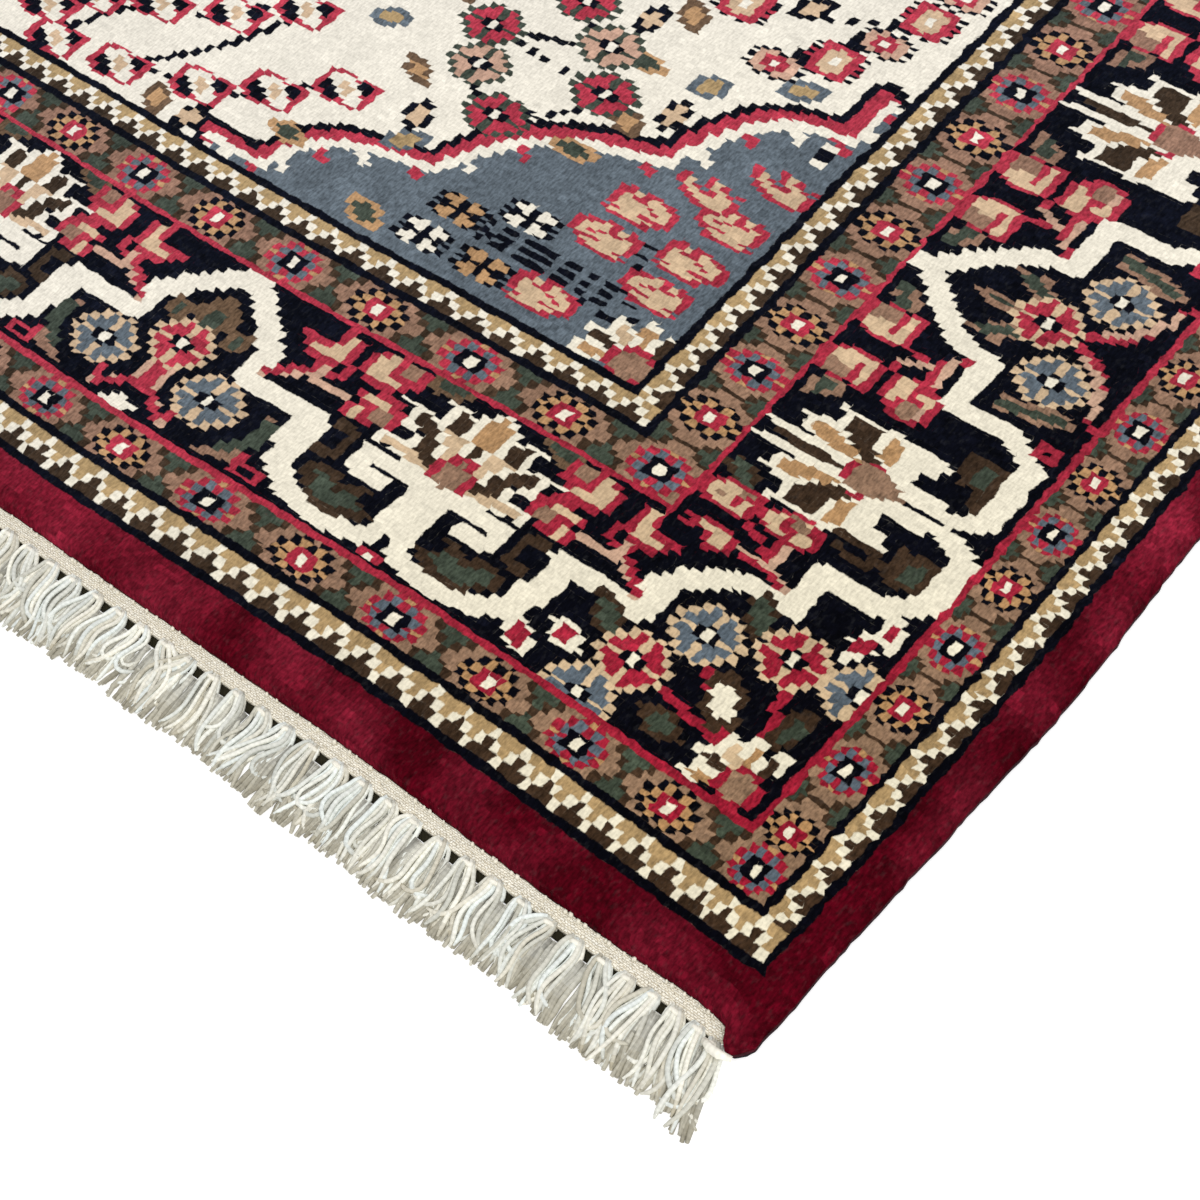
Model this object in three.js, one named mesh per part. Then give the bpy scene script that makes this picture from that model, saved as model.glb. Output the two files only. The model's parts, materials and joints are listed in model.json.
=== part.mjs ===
// A small hand-knotted silk rug lying flat: a slab of short pile on its woven foundation, and at each end
// an ivory flat-woven strip whose warp ends are knotted into a row of short tassels.
// Millimetres, +Z up. The rug's length runs along Y and its width along X. The origin is at the middle of
// the underside. The corner at +X, -Y is the one whose uneven edges are given; the part is the same after
// half a turn about Z.
import * as THREE from 'three';

// Driving dimensions
const RUG_WIDTH = 756;
const RUG_LENGTH = 1206;
const THICKNESS = 6;
const CORNER_RADIUS = 7;
const EDGE_STEP = 15;
const CORNER_STEPS = 5;

// Height and inset of the edge's profile, from the underside to the flat top of the pile
const EDGE_PROFILE = [
  { height: 0, inset: 1.2 },
  { height: 1.4, inset: 0.3 },
  { height: 3.4, inset: 0 },
  { height: 5, inset: 0.8 },
  { height: THICKNESS, inset: 2.6 },
];

// Uneven side edge: bumps and hollows, at a distance along the edge from the given corner
const SIDE_BUMPS = [
  { at: 0, reach: 32, push: -2.4 },
  { at: 90, reach: 40, push: 0.9 },
  { at: 430, reach: 110, push: -0.8 },
  { at: 830, reach: 120, push: 0.7 },
  { at: RUG_LENGTH, reach: 45, push: -1.8 },
];

// Uneven end edge: a slow ripple, at a distance along the edge from the given corner
const END_RIPPLE = 1.2;
const END_RIPPLE_LENGTH = 150;
const END_RIPPLE_START = 35;

// Flat-woven strip and tassels
const STRIP_GAP = 0.3;
const STRIP_WIDTH = 4.4;
const STRIP_THICKNESS = 1.8;
const STRIP_SHORTER = 3;
const TASSELS = 103;
const TASSEL_LENGTH = 17.5;
const TASSEL_LENGTH_CHANGE = 1.2;
const TASSEL_LEAN = 1.6;
const CORNER_LEAN = 4.6;
const CORNER_LEAN_REACH = 12;

// A tassel from its root to its tip: share of the length, half width, height above the floor
const TASSEL_STATIONS = [
  { along: 0, half: 2.7, height: STRIP_THICKNESS },
  { along: 0.11, half: 1.5, height: 2.4 },
  { along: 0.2, half: 1.8, height: 3 },
  { along: 0.45, half: 2.6, height: 2.4 },
  { along: 0.8, half: 2.3, height: 1.8 },
  { along: 1, half: 1.4, height: 1.3 },
];

const silkPile = new THREE.MeshStandardMaterial({ color: 0x5d1626, roughness: 0.55, metalness: 0 });
const cottonWarp = new THREE.MeshStandardMaterial({ color: 0xd8d2c0, roughness: 0.9, metalness: 0 });

// How far the side edge stands out, at a distance along it from the given corner
function sideWave(distance) {
  let wave = 0;
  for (const bump of SIDE_BUMPS) {
    wave += bump.push * Math.exp(-(((distance - bump.at) / bump.reach) ** 2));
  }
  return wave;
}

// How far the end edge stands out, at a distance along it from the given corner
function endWave(distance) {
  return END_RIPPLE * Math.sin((2 * Math.PI * (distance - END_RIPPLE_START)) / END_RIPPLE_LENGTH);
}

// Pushes a point of the even outline to its place on the uneven one
function uneven(point) {
  const sideSign = Math.sign(point.x);
  const endSign = Math.sign(point.y);
  const alongSide = sideSign * point.y + RUG_LENGTH / 2;
  const alongEnd = endSign * point.x + RUG_WIDTH / 2;
  const nearSide = THREE.MathUtils.smoothstep(Math.abs(point.x), 0, RUG_WIDTH / 2);
  const nearEnd = THREE.MathUtils.smoothstep(Math.abs(point.y), 0, RUG_LENGTH / 2);
  return new THREE.Vector2(
    point.x + sideSign * nearSide * sideWave(alongSide),
    point.y + endSign * nearEnd * endWave(alongEnd),
  );
}

// Points from one place to another, without the last one
function straightStretch(from, to) {
  const steps = Math.max(1, Math.round(from.distanceTo(to) / EDGE_STEP));
  const points = [];
  for (let step = 0; step < steps; step += 1) {
    points.push(from.clone().lerp(to, step / steps));
  }
  return points;
}

// The rug's outline from above, anticlockwise, drawn in by an inset
function rugOutline(inset) {
  const x = RUG_WIDTH / 2 - CORNER_RADIUS;
  const y = RUG_LENGTH / 2 - CORNER_RADIUS;
  const radius = CORNER_RADIUS - inset;
  const centres = [[x, -y], [x, y], [-x, y], [-x, -y]].map(([cx, cy]) => new THREE.Vector2(cx, cy));
  const outline = [];
  centres.forEach((centre, corner) => {
    const firstAngle = (corner - 1) * (Math.PI / 2);
    for (let step = 0; step < CORNER_STEPS; step += 1) {
      const angle = firstAngle + (step / CORNER_STEPS) * (Math.PI / 2);
      outline.push(new THREE.Vector2(Math.cos(angle), Math.sin(angle)).multiplyScalar(radius).add(centre));
    }
    const lastAngle = firstAngle + Math.PI / 2;
    const outward = new THREE.Vector2(Math.cos(lastAngle), Math.sin(lastAngle)).multiplyScalar(radius);
    const next = centres[(corner + 1) % centres.length];
    outline.push(...straightStretch(outward.clone().add(centre), outward.clone().add(next)));
  });
  return outline.map(uneven);
}

// A closed body between rings of the same number of points, the first ring at the bottom
function loft(rings) {
  const count = rings[0].length;
  const positions = rings.flat().flatMap((point) => [point.x, point.y, point.z]);
  const indices = [];
  for (let ring = 0; ring < rings.length - 1; ring += 1) {
    for (let index = 0; index < count; index += 1) {
      const next = (index + 1) % count;
      const low = ring * count;
      const high = low + count;
      indices.push(low + index, low + next, high + next);
      indices.push(low + index, high + next, high + index);
    }
  }
  const topStart = (rings.length - 1) * count;
  const flatRing = (ring) => ring.map((point) => new THREE.Vector2(point.x, point.y));
  for (const [a, b, c] of THREE.ShapeUtils.triangulateShape(flatRing(rings[0]), [])) {
    indices.push(a, c, b);
  }
  for (const [a, b, c] of THREE.ShapeUtils.triangulateShape(flatRing(rings.at(-1)), [])) {
    indices.push(topStart + a, topStart + b, topStart + c);
  }
  const geometry = new THREE.BufferGeometry();
  geometry.setAttribute('position', new THREE.Float32BufferAttribute(positions, 3));
  geometry.setIndex(indices);
  geometry.computeVertexNormals();
  return geometry;
}

function bodyGeometry() {
  return loft(EDGE_PROFILE.map(({ height, inset }) => (
    rugOutline(inset).map((point) => new THREE.Vector3(point.x, point.y, height))
  )));
}

// Sideways lean of a tassel's tip: a slow drift, and outward at the rug's corners
function tasselLean(x) {
  const drift = TASSEL_LEAN * Math.sin(x / 31);
  const cornerDistance = RUG_WIDTH / 2 - Math.abs(x);
  return drift + Math.sign(x) * CORNER_LEAN * Math.exp(-cornerDistance / CORNER_LEAN_REACH);
}

// One tassel's outline as it is walked from left to right, with the height of each point
function tasselOutline(rootX, length) {
  const left = [];
  const right = [];
  for (const { along, half, height } of TASSEL_STATIONS) {
    const middle = rootX + tasselLean(rootX) * along ** 1.5;
    const outward = STRIP_WIDTH + along * length;
    left.push({ x: middle - half, outward, height });
    right.unshift({ x: middle + half, outward, height });
  }
  return [...left, ...right];
}

// The strip with its tassels: one flat comb that rests on the floor
function fringeGeometry() {
  const firstX = -RUG_WIDTH / 2 + STRIP_SHORTER;
  const pitch = (-2 * firstX) / TASSELS;
  const comb = [];
  for (let index = 0; index < TASSELS; index += 1) {
    const length = TASSEL_LENGTH + TASSEL_LENGTH_CHANGE * Math.sin(index * 1.7);
    comb.push(...tasselOutline(firstX + (index + 0.5) * pitch, length));
  }
  const innerSteps = Math.round((-2 * firstX) / EDGE_STEP);
  for (let step = innerSteps; step >= 0; step -= 1) {
    comb.push({ x: firstX + (-2 * firstX * step) / innerSteps, outward: 0, height: STRIP_THICKNESS });
  }
  const place = ({ x, outward }, height) => {
    const edge = RUG_LENGTH / 2 + endWave(RUG_WIDTH / 2 - x) + STRIP_GAP;
    return new THREE.Vector3(x, -edge - outward, height);
  };
  return loft([
    comb.map((point) => place(point, 0)),
    comb.map((point) => place(point, point.height)),
  ]);
}

function namedMesh(name, geometry, material) {
  const mesh = new THREE.Mesh(geometry, material);
  mesh.name = name;
  return mesh;
}

const rug = new THREE.Group();
rug.add(namedMesh('rug_body', bodyGeometry(), silkPile));
rug.add(namedMesh('fringe_near', fringeGeometry(), cottonWarp));

const farFringe = namedMesh('fringe_far', fringeGeometry(), cottonWarp);
farFringe.rotation.z = Math.PI;
rug.add(farFringe);

export default rug;
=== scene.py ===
# The look of a small hand-knotted silk rug: every knot of the pile, the flat-woven end strips and the
# twisted strands of the fringes, with a pale floor, soft light and the camera over one corner.
# Lengths are millimetres until a mesh is made, and metres in Blender.
import json
import math

import bpy
import numpy as np
from mathutils import Euler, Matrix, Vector

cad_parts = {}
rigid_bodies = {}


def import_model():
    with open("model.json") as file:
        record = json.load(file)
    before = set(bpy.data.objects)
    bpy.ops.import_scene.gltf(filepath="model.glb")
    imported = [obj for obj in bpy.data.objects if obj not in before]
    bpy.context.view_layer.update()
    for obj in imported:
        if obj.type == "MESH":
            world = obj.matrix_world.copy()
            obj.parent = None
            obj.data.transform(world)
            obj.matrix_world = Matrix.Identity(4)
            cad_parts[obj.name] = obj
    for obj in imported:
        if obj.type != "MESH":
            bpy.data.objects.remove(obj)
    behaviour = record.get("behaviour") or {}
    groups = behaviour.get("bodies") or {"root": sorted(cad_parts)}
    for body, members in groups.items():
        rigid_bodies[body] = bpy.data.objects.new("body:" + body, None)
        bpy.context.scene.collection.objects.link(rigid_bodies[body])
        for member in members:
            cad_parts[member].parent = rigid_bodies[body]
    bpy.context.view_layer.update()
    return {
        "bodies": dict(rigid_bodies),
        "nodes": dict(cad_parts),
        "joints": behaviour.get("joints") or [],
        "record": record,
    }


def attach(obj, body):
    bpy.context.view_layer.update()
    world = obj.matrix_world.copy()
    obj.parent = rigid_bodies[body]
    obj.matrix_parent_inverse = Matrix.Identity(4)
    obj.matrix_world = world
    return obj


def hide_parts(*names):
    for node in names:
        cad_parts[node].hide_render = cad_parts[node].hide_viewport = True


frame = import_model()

MM = 0.001

# The rug's even outline and its edge profile, as in the solids
RUG_WIDTH = 756
RUG_LENGTH = 1206
THICKNESS = 6
EDGE_WIDTH = 2.6
EDGE_TOP = 3.4
EDGE_BELOW = [(2.4, 0.05), (1.4, 0.3), (0.6, 0.8), (0, 1.2)]

# Uneven side edge: distance along it from the corner in view, reach and push outward
SIDE_BUMPS = [(0, 32, -1.2), (90, 40, 0.9), (430, 110, -0.8), (830, 120, 0.7), (RUG_LENGTH, 45, -1.8)]

# Uneven end: distance from the nearer side edge, and how far the edge stands out there
END_WAVE = [
    (20, -0.75), (40, -0.25), (60, -0.35), (80, -0.55), (100, -1.05), (120, -1.25), (140, -1.05),
    (160, -0.75), (180, -0.45), (240, -0.05), (300, -0.3), (RUG_WIDTH / 2, -0.1),
]

# At the corner the pile has a lip that stands out past the strip
CORNER_LIP = [
    (0, 0.6), (1.7, 2.9), (3.4, 3.9), (5.1, 4.3), (6.8, 4.2), (8.4, 3), (10.1, 0.3), (11.9, -0.2),
    (14, -0.5),
]
LIP_REACH = 14

# The side's selvage is drawn in past its bumps: distance from the nearer end, and how far it stands out
SIDE_DRAW = [
    (0, -2.7), (10, -2.3), (20, -2.6), (40, -2.35), (70, -1.8), (90, -0.9), (110, -0.9), (140, -1.7),
    (200, -1), (400, -0.3), (RUG_LENGTH / 2, 0),
]
SIDE_REACH = 9

# The rows of knots inside the end's edge wave in their own way, as far from the end as this
ROW_WAVE = [
    (0, 1), (15, 1), (50, 0.2), (75, -0.4), (100, -0.9), (130, -0.9), (150, -0.5), (180, 0.2), (200, 1),
    (220, 1.5), (270, 1.4), (330, 0),
]
ROW_WAVE_REACH = (60, 150)

# Knots
COLUMNS = 340
ROWS = 1243
HALF_COLUMNS = COLUMNS // 2
HALF_ROWS = (ROWS + 1) // 2
BAND_COLUMNS = 6
BAND_ROWS = 13
KNOT_STRAY_X = 0.3
KNOT_STRAY_Y = 0.17
KNOT_STRAY_Z = 0.05
BACK_COLUMNS = 17
BACK_ROWS = 31
EDGE_MAP_STEP = 0.6


# How far a knot's threads stray over its edges, in knots, and how soft the edges are
STRAY_REACH = (0.5, 0.85, 0)
STRAY_SCALE = 900
SOFT_SIDE = 0.07
SOFT_END = 0.14

# How much the threads of dark and of light silk differ in shade
DARK_GRAIN = 2.3
LIGHT_GRAIN = 0.75

# Knots counted from the rug's edge, and how far in millimetres each count has come
COLUMN_PLACES = [
    (0, 0), (6, 10.1), (10.5, 18.95), (14.5, 26.1), (18.5, 32.5), (26.5, 49.2), (38.5, 74.0),
    (49, 96.5), (50, 97.8), (51, 100.3), (62.5, 127.4), (74.5, 155.6), (86.5, 185.5), (98.5, 214.2),
    (110.5, 241.1), (HALF_COLUMNS, RUG_WIDTH / 2),
]
ROW_PLACES = [
    (0, 0), (14, 13.1), (22, 23.3), (28.5, 28.6), (35, 35.9), (39.5, 39.0), (57.5, 57.2), (75.5, 75.1),
    (86, 85.45), (88, 86.75), (93.5, 92.6), (111.5, 110.6), (129.5, 126.8), (147.5, 142.6),
    (165.5, 159.3), (183.5, 176.7), (ROWS / 2, RUG_LENGTH / 2),
]

# Flat-woven strip, beyond the pile's edge
STRIP_START = 9.5
STRIP_WIDTH = 3.5
STRIP_TUCK = 0.7
STRIP_THICKNESS = 1.9
STRIP_RISE = 1.2
STRIP_RIBS = 6
STRIP_STEPS = 379
STRIP_BEND = [(8.5, 1.4), (10.5, 0.6), (13, -0.2)]
STRIP_TAPER = [(STRIP_START, 0.35), (11, 0.75), (14, 1)]

# Tassels: distances from a side edge to where the fringe and the first gap between two heads lie
HALF_TASSELS = 50
FRINGE_START = 9.8
FIRST_GAP = 13.2
CORNER_PITCH = 5.6
FULL_PITCH = 7.65
HEAD_HALF = 1.2
HEAD_RISE = 1.0
TASSEL_LENGTH = 17
LENGTH_WAVE = 1.1
CORNER_LENGTH = 5
CORNER_REACH = 12
CORNER_LEAN = 0.36
LEAN_REACH = 28
WRAP_STEPS = 7
WRAP_PLACE = 0.5
WRAP_RISE = 1.8

# Strands
STRANDS = 10
STRAND_SIDES = 5
STRAND_STEPS = 13
STRAND_RADIUS = 0.57
LOW_RADIUS = 0.72
LAYER = 0.75
LOW_STRANDS = 10
LOW_STEPS = 6
LOW_START = 2.5
LOW_TIP_OLIVE = 0.4
LOW_SWAY = 0.12
LOW_TAPER = [(0, 1), (0.8, 1), (1, 0.6)]
FAN_SHARE = 0.14
FAN_SPREAD = 1.1
TWIST_LENGTH = 1.1

# A dark sheet under the heads, painted shade that shows in the gaps between them
SHADE_SHEET_START = 13
SHADE_SHEET_SHOWN = 2
SHADE_SHEET_THICKNESS = 0.3
SHADE_SHEET_STEPS = 95

# Colours as the eye sees them, from 0 to 255
COTTON_WARM = (250, 246, 232)
COTTON_COOL = (240, 246, 243)
# painted shade: the cotton of the lower strands, a darker copy of the top strands' colour
COTTON_LOW_SHADED = (226, 224, 212)
COTTON_OLIVE = (150, 137, 102)
STRIP_COLOUR = (246, 240, 222)
# painted shade: the near-black olive of the sheet under the tassels' heads
SHADE_SHEET_COLOUR = (44, 41, 28)
BACK_COLOUR = (150, 122, 100)
# painted shadow: the near-black of the pile's edge walls, and how much of it each ring of walls takes
EDGE_SHADOW_COLOUR = (26, 16, 24)
EDGE_SHADOW_SHARE = (0.6, 1, 1, 1)

# Light and camera
WORLD_STRENGTH = 0.69
LAMP_POWER = 17.5
CAMERA_PLACE = (0.5285, -0.7268, 0.4293)
CAMERA_TURN = (34.849, 8.769, 40.805)
CAMERA_LENS = 73.66
CLOUD_WAVES = 10

# Colours of the silk as the eye sees them, from 0 to 255, and how uneven each is
PALETTE = {
    "c": (72, 2, 15),
    "r": (142, 24, 43),
    "k": (4, 4, 10),
    "w": (227, 218, 192),
    "e": (196, 170, 134),
    "p": (186, 152, 126),
    "t": (136, 108, 84),
    "b": (56, 40, 27),
    "m": (100, 78, 57),
    "g": (58, 66, 53),
    "s": (84, 94, 102),
    "y": (164, 136, 94),
    "a": (170, 130, 86),
}
# The same silks away from the corner, lighter there by painted sheen
SHEEN_PALETTE = {
    "c": (140, 34, 54), "r": (180, 60, 78), "k": (12, 15, 26), "w": (238, 232, 219), "e": (208, 180, 150),
    "p": (200, 162, 142), "t": (148, 114, 98), "b": (62, 50, 40), "m": (108, 86, 68), "g": (66, 74, 66),
    "s": (98, 108, 117), "y": (176, 150, 110), "a": (184, 146, 108),
}
SHEEN_FROM = (20, 330)
CRIMSON_SHEEN_CLOUDS = 0.22
TONE_CHANGE = {
    "c": 0.2, "r": 0.14, "k": 0.25, "w": 0.045, "e": 0.09, "p": 0.1, "t": 0.12, "b": 0.18,
    "m": 0.12, "g": 0.16,
    "s": 0.12, "y": 0.12, "a": 0.1,
}


# Pattern

# Middle of the whole pattern
MIDDLE_COLUMN = 164
MIDDLE_ROW = 608.5

# Borders from the crimson band inward: columns along a side, rows along an end, ground
BORDERS = [
    (1, 2, "k"), (3, 6, "b"), (1, 2, "k"), (7, 11, "t"), (1, 2, "r"),
    (30, 50, "k"),
    (1, 2, "r"), (7, 11, "t"), (1, 2, "k"), (3, 6, "b"), (1, 2, "k"),
]

# Charts. A word is a row of knots as seen from above with the end nearest and the side edge on the right.
# A number in front repeats the row, and a dot leaves the knot as it is.
RED_ROSETTE = "ttktktt 2tkakakt karrrak karwrak akrwrka karwrak karrrak 2tkakakt ttktktt"
SLATE_ROSETTE = "ttrartt 2trsrsrt rskkksr rskwksr arkwkra rskwksr rskkksr 2trsrsrt ttrartt"
END_LEAF = "2bgggb 2tbgbt 2ttbtt ttgtt tbgbt 3bgggb"
SIDE_LEAF = "b.....b gb...bg gb...bg ggbbbgg gb...bg gb...bg b.....b"
FLOWER = """
    1...o.o... 2..oxoxo.. 2.oxxoxxo. 1oxxxkxxxo 1oxxkwkxxo 1.ookwkoo. 1oxxkwkxxo 1oxxxkxxxo
    2.oxxoxxo. 2..oxoxo.. 1...o.o...
"""

# Half a palmette of the end border, each row from its middle column outward
END_PALMETTE = """
    w aw aw aaw aaw.www aawwbw 2aawbbw aawbbw aawbbw.wwww aawbbwwbw bweeewbbw 2bweewbbbw bweewbbww
    rrewbb.ww 2trewbbw ttrwbbw ttrbbbwwww ttrbbeeeew ttrbeeeeew ttreeeww.w ttrwww t
"""
BUD_UP = "2...r... 2rttrer. 2rttreer 2rrrreer 2.reeeer 2..rrrr."
BUD_OUT = "2..r.... 2rer.... 2rer.... 2reerrrr 2reeeer. 2.rrrr.."
BUD_LOW = "2.rrr... 2rreeer. 2rttrr.. 2rttrer. 2..rrer."


def chart_rows(text):
    rows = []
    for word in text.split():
        count = int(word[0]) if word[0].isdigit() else 1
        rows += [word.lstrip("0123456789")] * count
    wide = max(map(len, rows))
    return np.array([[ord(letter) for letter in row.ljust(wide, ".")] for row in rows], np.uint8)


class Cloth:
    """A quarter of the rug as palette letters. Columns and rows count inward from the crimson band."""

    def __init__(self):
        self.letters = np.full((HALF_ROWS, HALF_COLUMNS), ord("c"), np.uint8)
        column = np.arange(HALF_COLUMNS) - BAND_COLUMNS + 0.5
        row = np.arange(HALF_ROWS) - BAND_ROWS + 0.5
        self.column, self.row = np.meshgrid(column, row)

    def fill(self, where, letter):
        self.letters[where] = ord(letter)

    def box(self, c0, c1, r0, r1, letter):
        inside = (self.column > c0) & (self.column < c1) & (self.row > r0) & (self.row < r1)
        self.fill(inside, letter)

    def stroke(self, points, letter, wide=1.0, high=2.0):
        """A line through points, drawn with an oval pen that is some columns wide and some rows high."""
        points = np.asarray(points, float)
        c0, c1 = points[:, 0].min() - wide, points[:, 0].max() + wide
        r0, r1 = points[:, 1].min() - high, points[:, 1].max() + high
        i0, i1 = (int(np.clip(c + BAND_COLUMNS, 0, HALF_COLUMNS)) for c in (c0, c1 + 1))
        j0, j1 = (int(np.clip(r + BAND_ROWS, 0, HALF_ROWS)) for r in (r0, r1 + 1))
        block = (slice(j0, j1), slice(i0, i1))
        x, y = self.column[block] / (wide / 2), self.row[block] / (high / 2)
        px, py = points[:, 0] / (wide / 2), points[:, 1] / (high / 2)
        near = np.full(x.shape, False)
        for a in range(max(len(points) - 1, 1)):
            b = min(a + 1, len(points) - 1)
            dx, dy = px[b] - px[a], py[b] - py[a]
            t = np.clip(((x - px[a]) * dx + (y - py[a]) * dy) / max(dx * dx + dy * dy, 1e-9), 0, 1)
            near |= (x - px[a] - t * dx) ** 2 + (y - py[a] - t * dy) ** 2 <= 1.0
        self.letters[block][near] = ord(letter)

    def area(self, points, letter):
        """A filled outline."""
        inside = np.full(self.letters.shape, False)
        x0, y0 = points[-1]
        for x1, y1 in points:
            crosses = (y0 > self.row) != (y1 > self.row)
            at = x0 + (self.row - y0) * (x1 - x0) / (y1 - y0 + 1e-12)
            inside ^= crosses & (self.column < at)
            x0, y0 = x1, y1
        self.fill(inside, letter)

    def chart(self, text, column, row, flip=False, over=False, swap=""):
        """A chart with its middle at a column and row, as it is or mirrored. swap gives pairs of letters."""
        grid = chart_rows(text)
        for old, new in zip(swap[::2], swap[1::2]):
            grid = np.where(grid == ord(old), ord(new), grid)
        grid = grid[:, ::-1] if not flip else grid
        grid = grid[::-1] if not over else grid
        high, wide = grid.shape
        left = int(math_round(column - wide / 2)) + BAND_COLUMNS
        low = int(math_round(row - high / 2)) + BAND_ROWS
        j0, i0 = max(0, -low), max(0, -left)
        grid = grid[j0:max(0, HALF_ROWS - low), i0:max(0, HALF_COLUMNS - left)]
        low, left = low + j0, left + i0
        if grid.size:
            spot = self.letters[low:low + grid.shape[0], left:left + grid.shape[1]]
            shown = grid != ord(".")
            spot[shown] = grid[shown]


def math_round(value):
    return np.floor(value + 0.5)


def mirrored(points, axis_column=None, axis_row=None):
    return [
        (
            2 * axis_column - c if axis_column is not None else c,
            2 * axis_row - r if axis_row is not None else r,
        )
        for c, r in points
    ]


def zigzags(cloth):
    """The narrow borders with a white zigzag, khaki on its inner side and brown on its outer side."""
    levels = ["bbwb", "bwyw", "wyyy"]
    for first_column, first_row, end_shift, side_shift in ((1, 2, 3, 7), (52, 88, 2, 0)):
        inner_column, inner_row = first_column + 3, first_row + 6
        beyond = (cloth.column > first_column) & (cloth.row > first_row)
        for level, letters in enumerate(levels):
            for phase, letter in enumerate(letters):
                on_end = (cloth.row > first_row + 2 * level) & (cloth.row < first_row + 2 * level + 2)
                at_column = (np.floor(cloth.column) - end_shift) % 4 == phase
                cloth.fill(beyond & on_end & at_column, letter)
        for level, letters in enumerate(levels):
            for phase, letter in enumerate(letters):
                on_side = (cloth.column > first_column + level) & (cloth.column < first_column + level + 1)
                at_row = ((np.floor(cloth.row) - side_shift) % 8) // 2 == phase
                cloth.fill(on_side & at_row & (cloth.row > inner_row), letter)


def guards(cloth):
    """The rows of rosettes, with a pair of leaves in each gap."""
    outer = [8.5 + 12 * k for k in range(14)]
    inner = [47.5 + 12 * k - max(0, k - 7) for k in range(11)]
    for row, places in ((15.5, outer), (80.5, inner)):
        for k, column in enumerate(places):
            cloth.chart(SLATE_ROSETTE if k % 2 == 0 else RED_ROSETTE, column, row)
        for a, b in zip(places[:-1], places[1:]):
            cloth.chart(END_LEAF, (a + b) / 2, row)
    outer = [26.5 + 18 * k + 0.5 * max(0, k - 20) for k in range(33)]
    inner = [98.5 + 18 * k + 0.5 * max(0, k - 16) for k in range(29)]
    for column, places in ((8.5, outer), (47.5, inner)):
        for k, row in enumerate(places):
            cloth.chart(RED_ROSETTE if k % 2 == 0 else SLATE_ROSETTE, column, row)
        for a, b in zip(places[:-1], places[1:]):
            cloth.chart(SIDE_LEAF, column, (a + b) / 2)
    cloth.chart(SIDE_LEAF, 47.5, 89.5)


def flower(cloth, column, row, petals, edge="e"):
    cloth.chart(FLOWER, column, row, swap="x" + petals + "o" + edge)


def end_unit(cloth, middle, first=False):
    """A palmette of the end border on its ivory stem, with ribbons, bay leaves and buds on either side."""
    curve = [
        (0, 32.5), (2.8, 28.4), (6, 26.6), (9, 26.8), (12, 28.8), (14, 31.8), (15.2, 35), (15.6, 40),
        (15.6, 47.8),
    ]
    arch = [(15.6, 47.8), (25.1, 47.8), (25.1, 56), (27.2, 61), (29, 64.4), (31, 67.8), (33.5, 72)]
    corner_arch = [
        (15.6, 48.5), (25.5, 48.5), (25.5, 57), (26.9, 60.5), (29.5, 65), (32.5, 68), (35.2, 68.3),
        (38, 68.3),
    ]
    bay = [
        (4.8, 38.9), (6.7, 38.9), (8.2, 36.6), (8.7, 38.6), (10.1, 39.4), (11.6, 38.9), (12.6, 36),
        (11.6, 33.2), (10.1, 29.8), (6.7, 28.7), (4.1, 30.4), (2.8, 33.8), (5, 34.9), (5.5, 36.6),
    ]
    core = [(6, 36.5), (8, 34.5), (9.6, 37), (11, 36.5), (11, 33.8), (9.4, 31.6), (6.6, 30.8), (4.8, 33)]
    for side in (-1, 1):
        def at(points):
            return [(middle + side * d, r) for d, r in points]
        cloth.stroke(at(curve), "w", 3.2, 4.5)
        cloth.stroke(at(corner_arch if first and side < 0 else arch), "w", 3.3, 4.6)
        cloth.area(at(bay), "b")
        cloth.area(at(core), "g")
        cloth.stroke(at([(13.2, 41.5), (11.3, 41.5), (11.3, 49.5), (13, 49.5)]), "b", 1, 2)
        cloth.stroke(at([(2, 47.3), (8, 47.3), (8.6, 46), (8.4, 42.6), (5.6, 42.2)]), "w", 2.6, 4.2)
        cloth.area(at([(2.8, 45.2), (7.4, 45.2), (7.2, 44.2), (4.6, 44.1), (4, 40), (2.8, 38)]), "k")
        cloth.area(at([(3.5, 73.5), (5, 73.5), (9, 73.5), (9.6, 70), (8, 67.6), (6, 69.5)]), "m")
        cloth.area(at([(5, 73), (8.4, 73), (8.6, 70.5), (7.6, 69), (6, 71)]), "g")
        flip = side > 0
        cloth.stroke(at([(16.5, 64), (17.3, 60), (19, 57.5)]), "r", 1, 2)
        cloth.stroke(at([(19.3, 63), (19.3, 57)]), "r", 2.1, 2)
        cloth.stroke(at([(19.3, 63), (19.3, 58)]), "p", 1, 2)
        cloth.stroke(at([(14.5, 56.2), (20.5, 56.6), (22, 54), (24.3, 51)]), "p", 1, 2)
        cloth.stroke(at([(19.6, 57.8), (21, 57), (23, 53.6), (24.5, 51.4)]), "r", 1, 2)
        cloth.chart(BUD_UP, middle + side * 12.5, 68.2, flip=flip)
        cloth.chart(BUD_OUT, middle + side * 20.6, 67.3, flip=flip)
        cloth.chart(BUD_LOW, middle + side * 12, 56.7, flip=flip)
    cloth.stroke([(middle, 32), (middle, 47)], "w", 5.2, 6)
    cloth.stroke([(middle, 46.8), (middle, 47.4)], "w", 9, 6)
    cloth.area([(middle - 1, 29), (middle, 32), (middle + 1, 29)], "k")
    cloth.box(middle - 1.5, middle + 1.5, 24, 27, "r")
    cloth.box(middle - 0.5, middle + 0.5, 24, 26, "w")
    cloth.chart(whole(END_PALMETTE), middle, 60.5)


def whole(half):
    """The chart that a half chart, from its middle column outward, stands for."""
    words = []
    for word in half.split():
        letters = word.lstrip("0123456789")
        words.append((word, letters))
    wide = max(len(letters) for word, letters in words)
    full = []
    for word, letters in words:
        letters = letters.ljust(wide, ".")
        full.append(word[:1] * word[0].isdigit() + letters[:0:-1] + letters)
    return " ".join(full)


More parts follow.
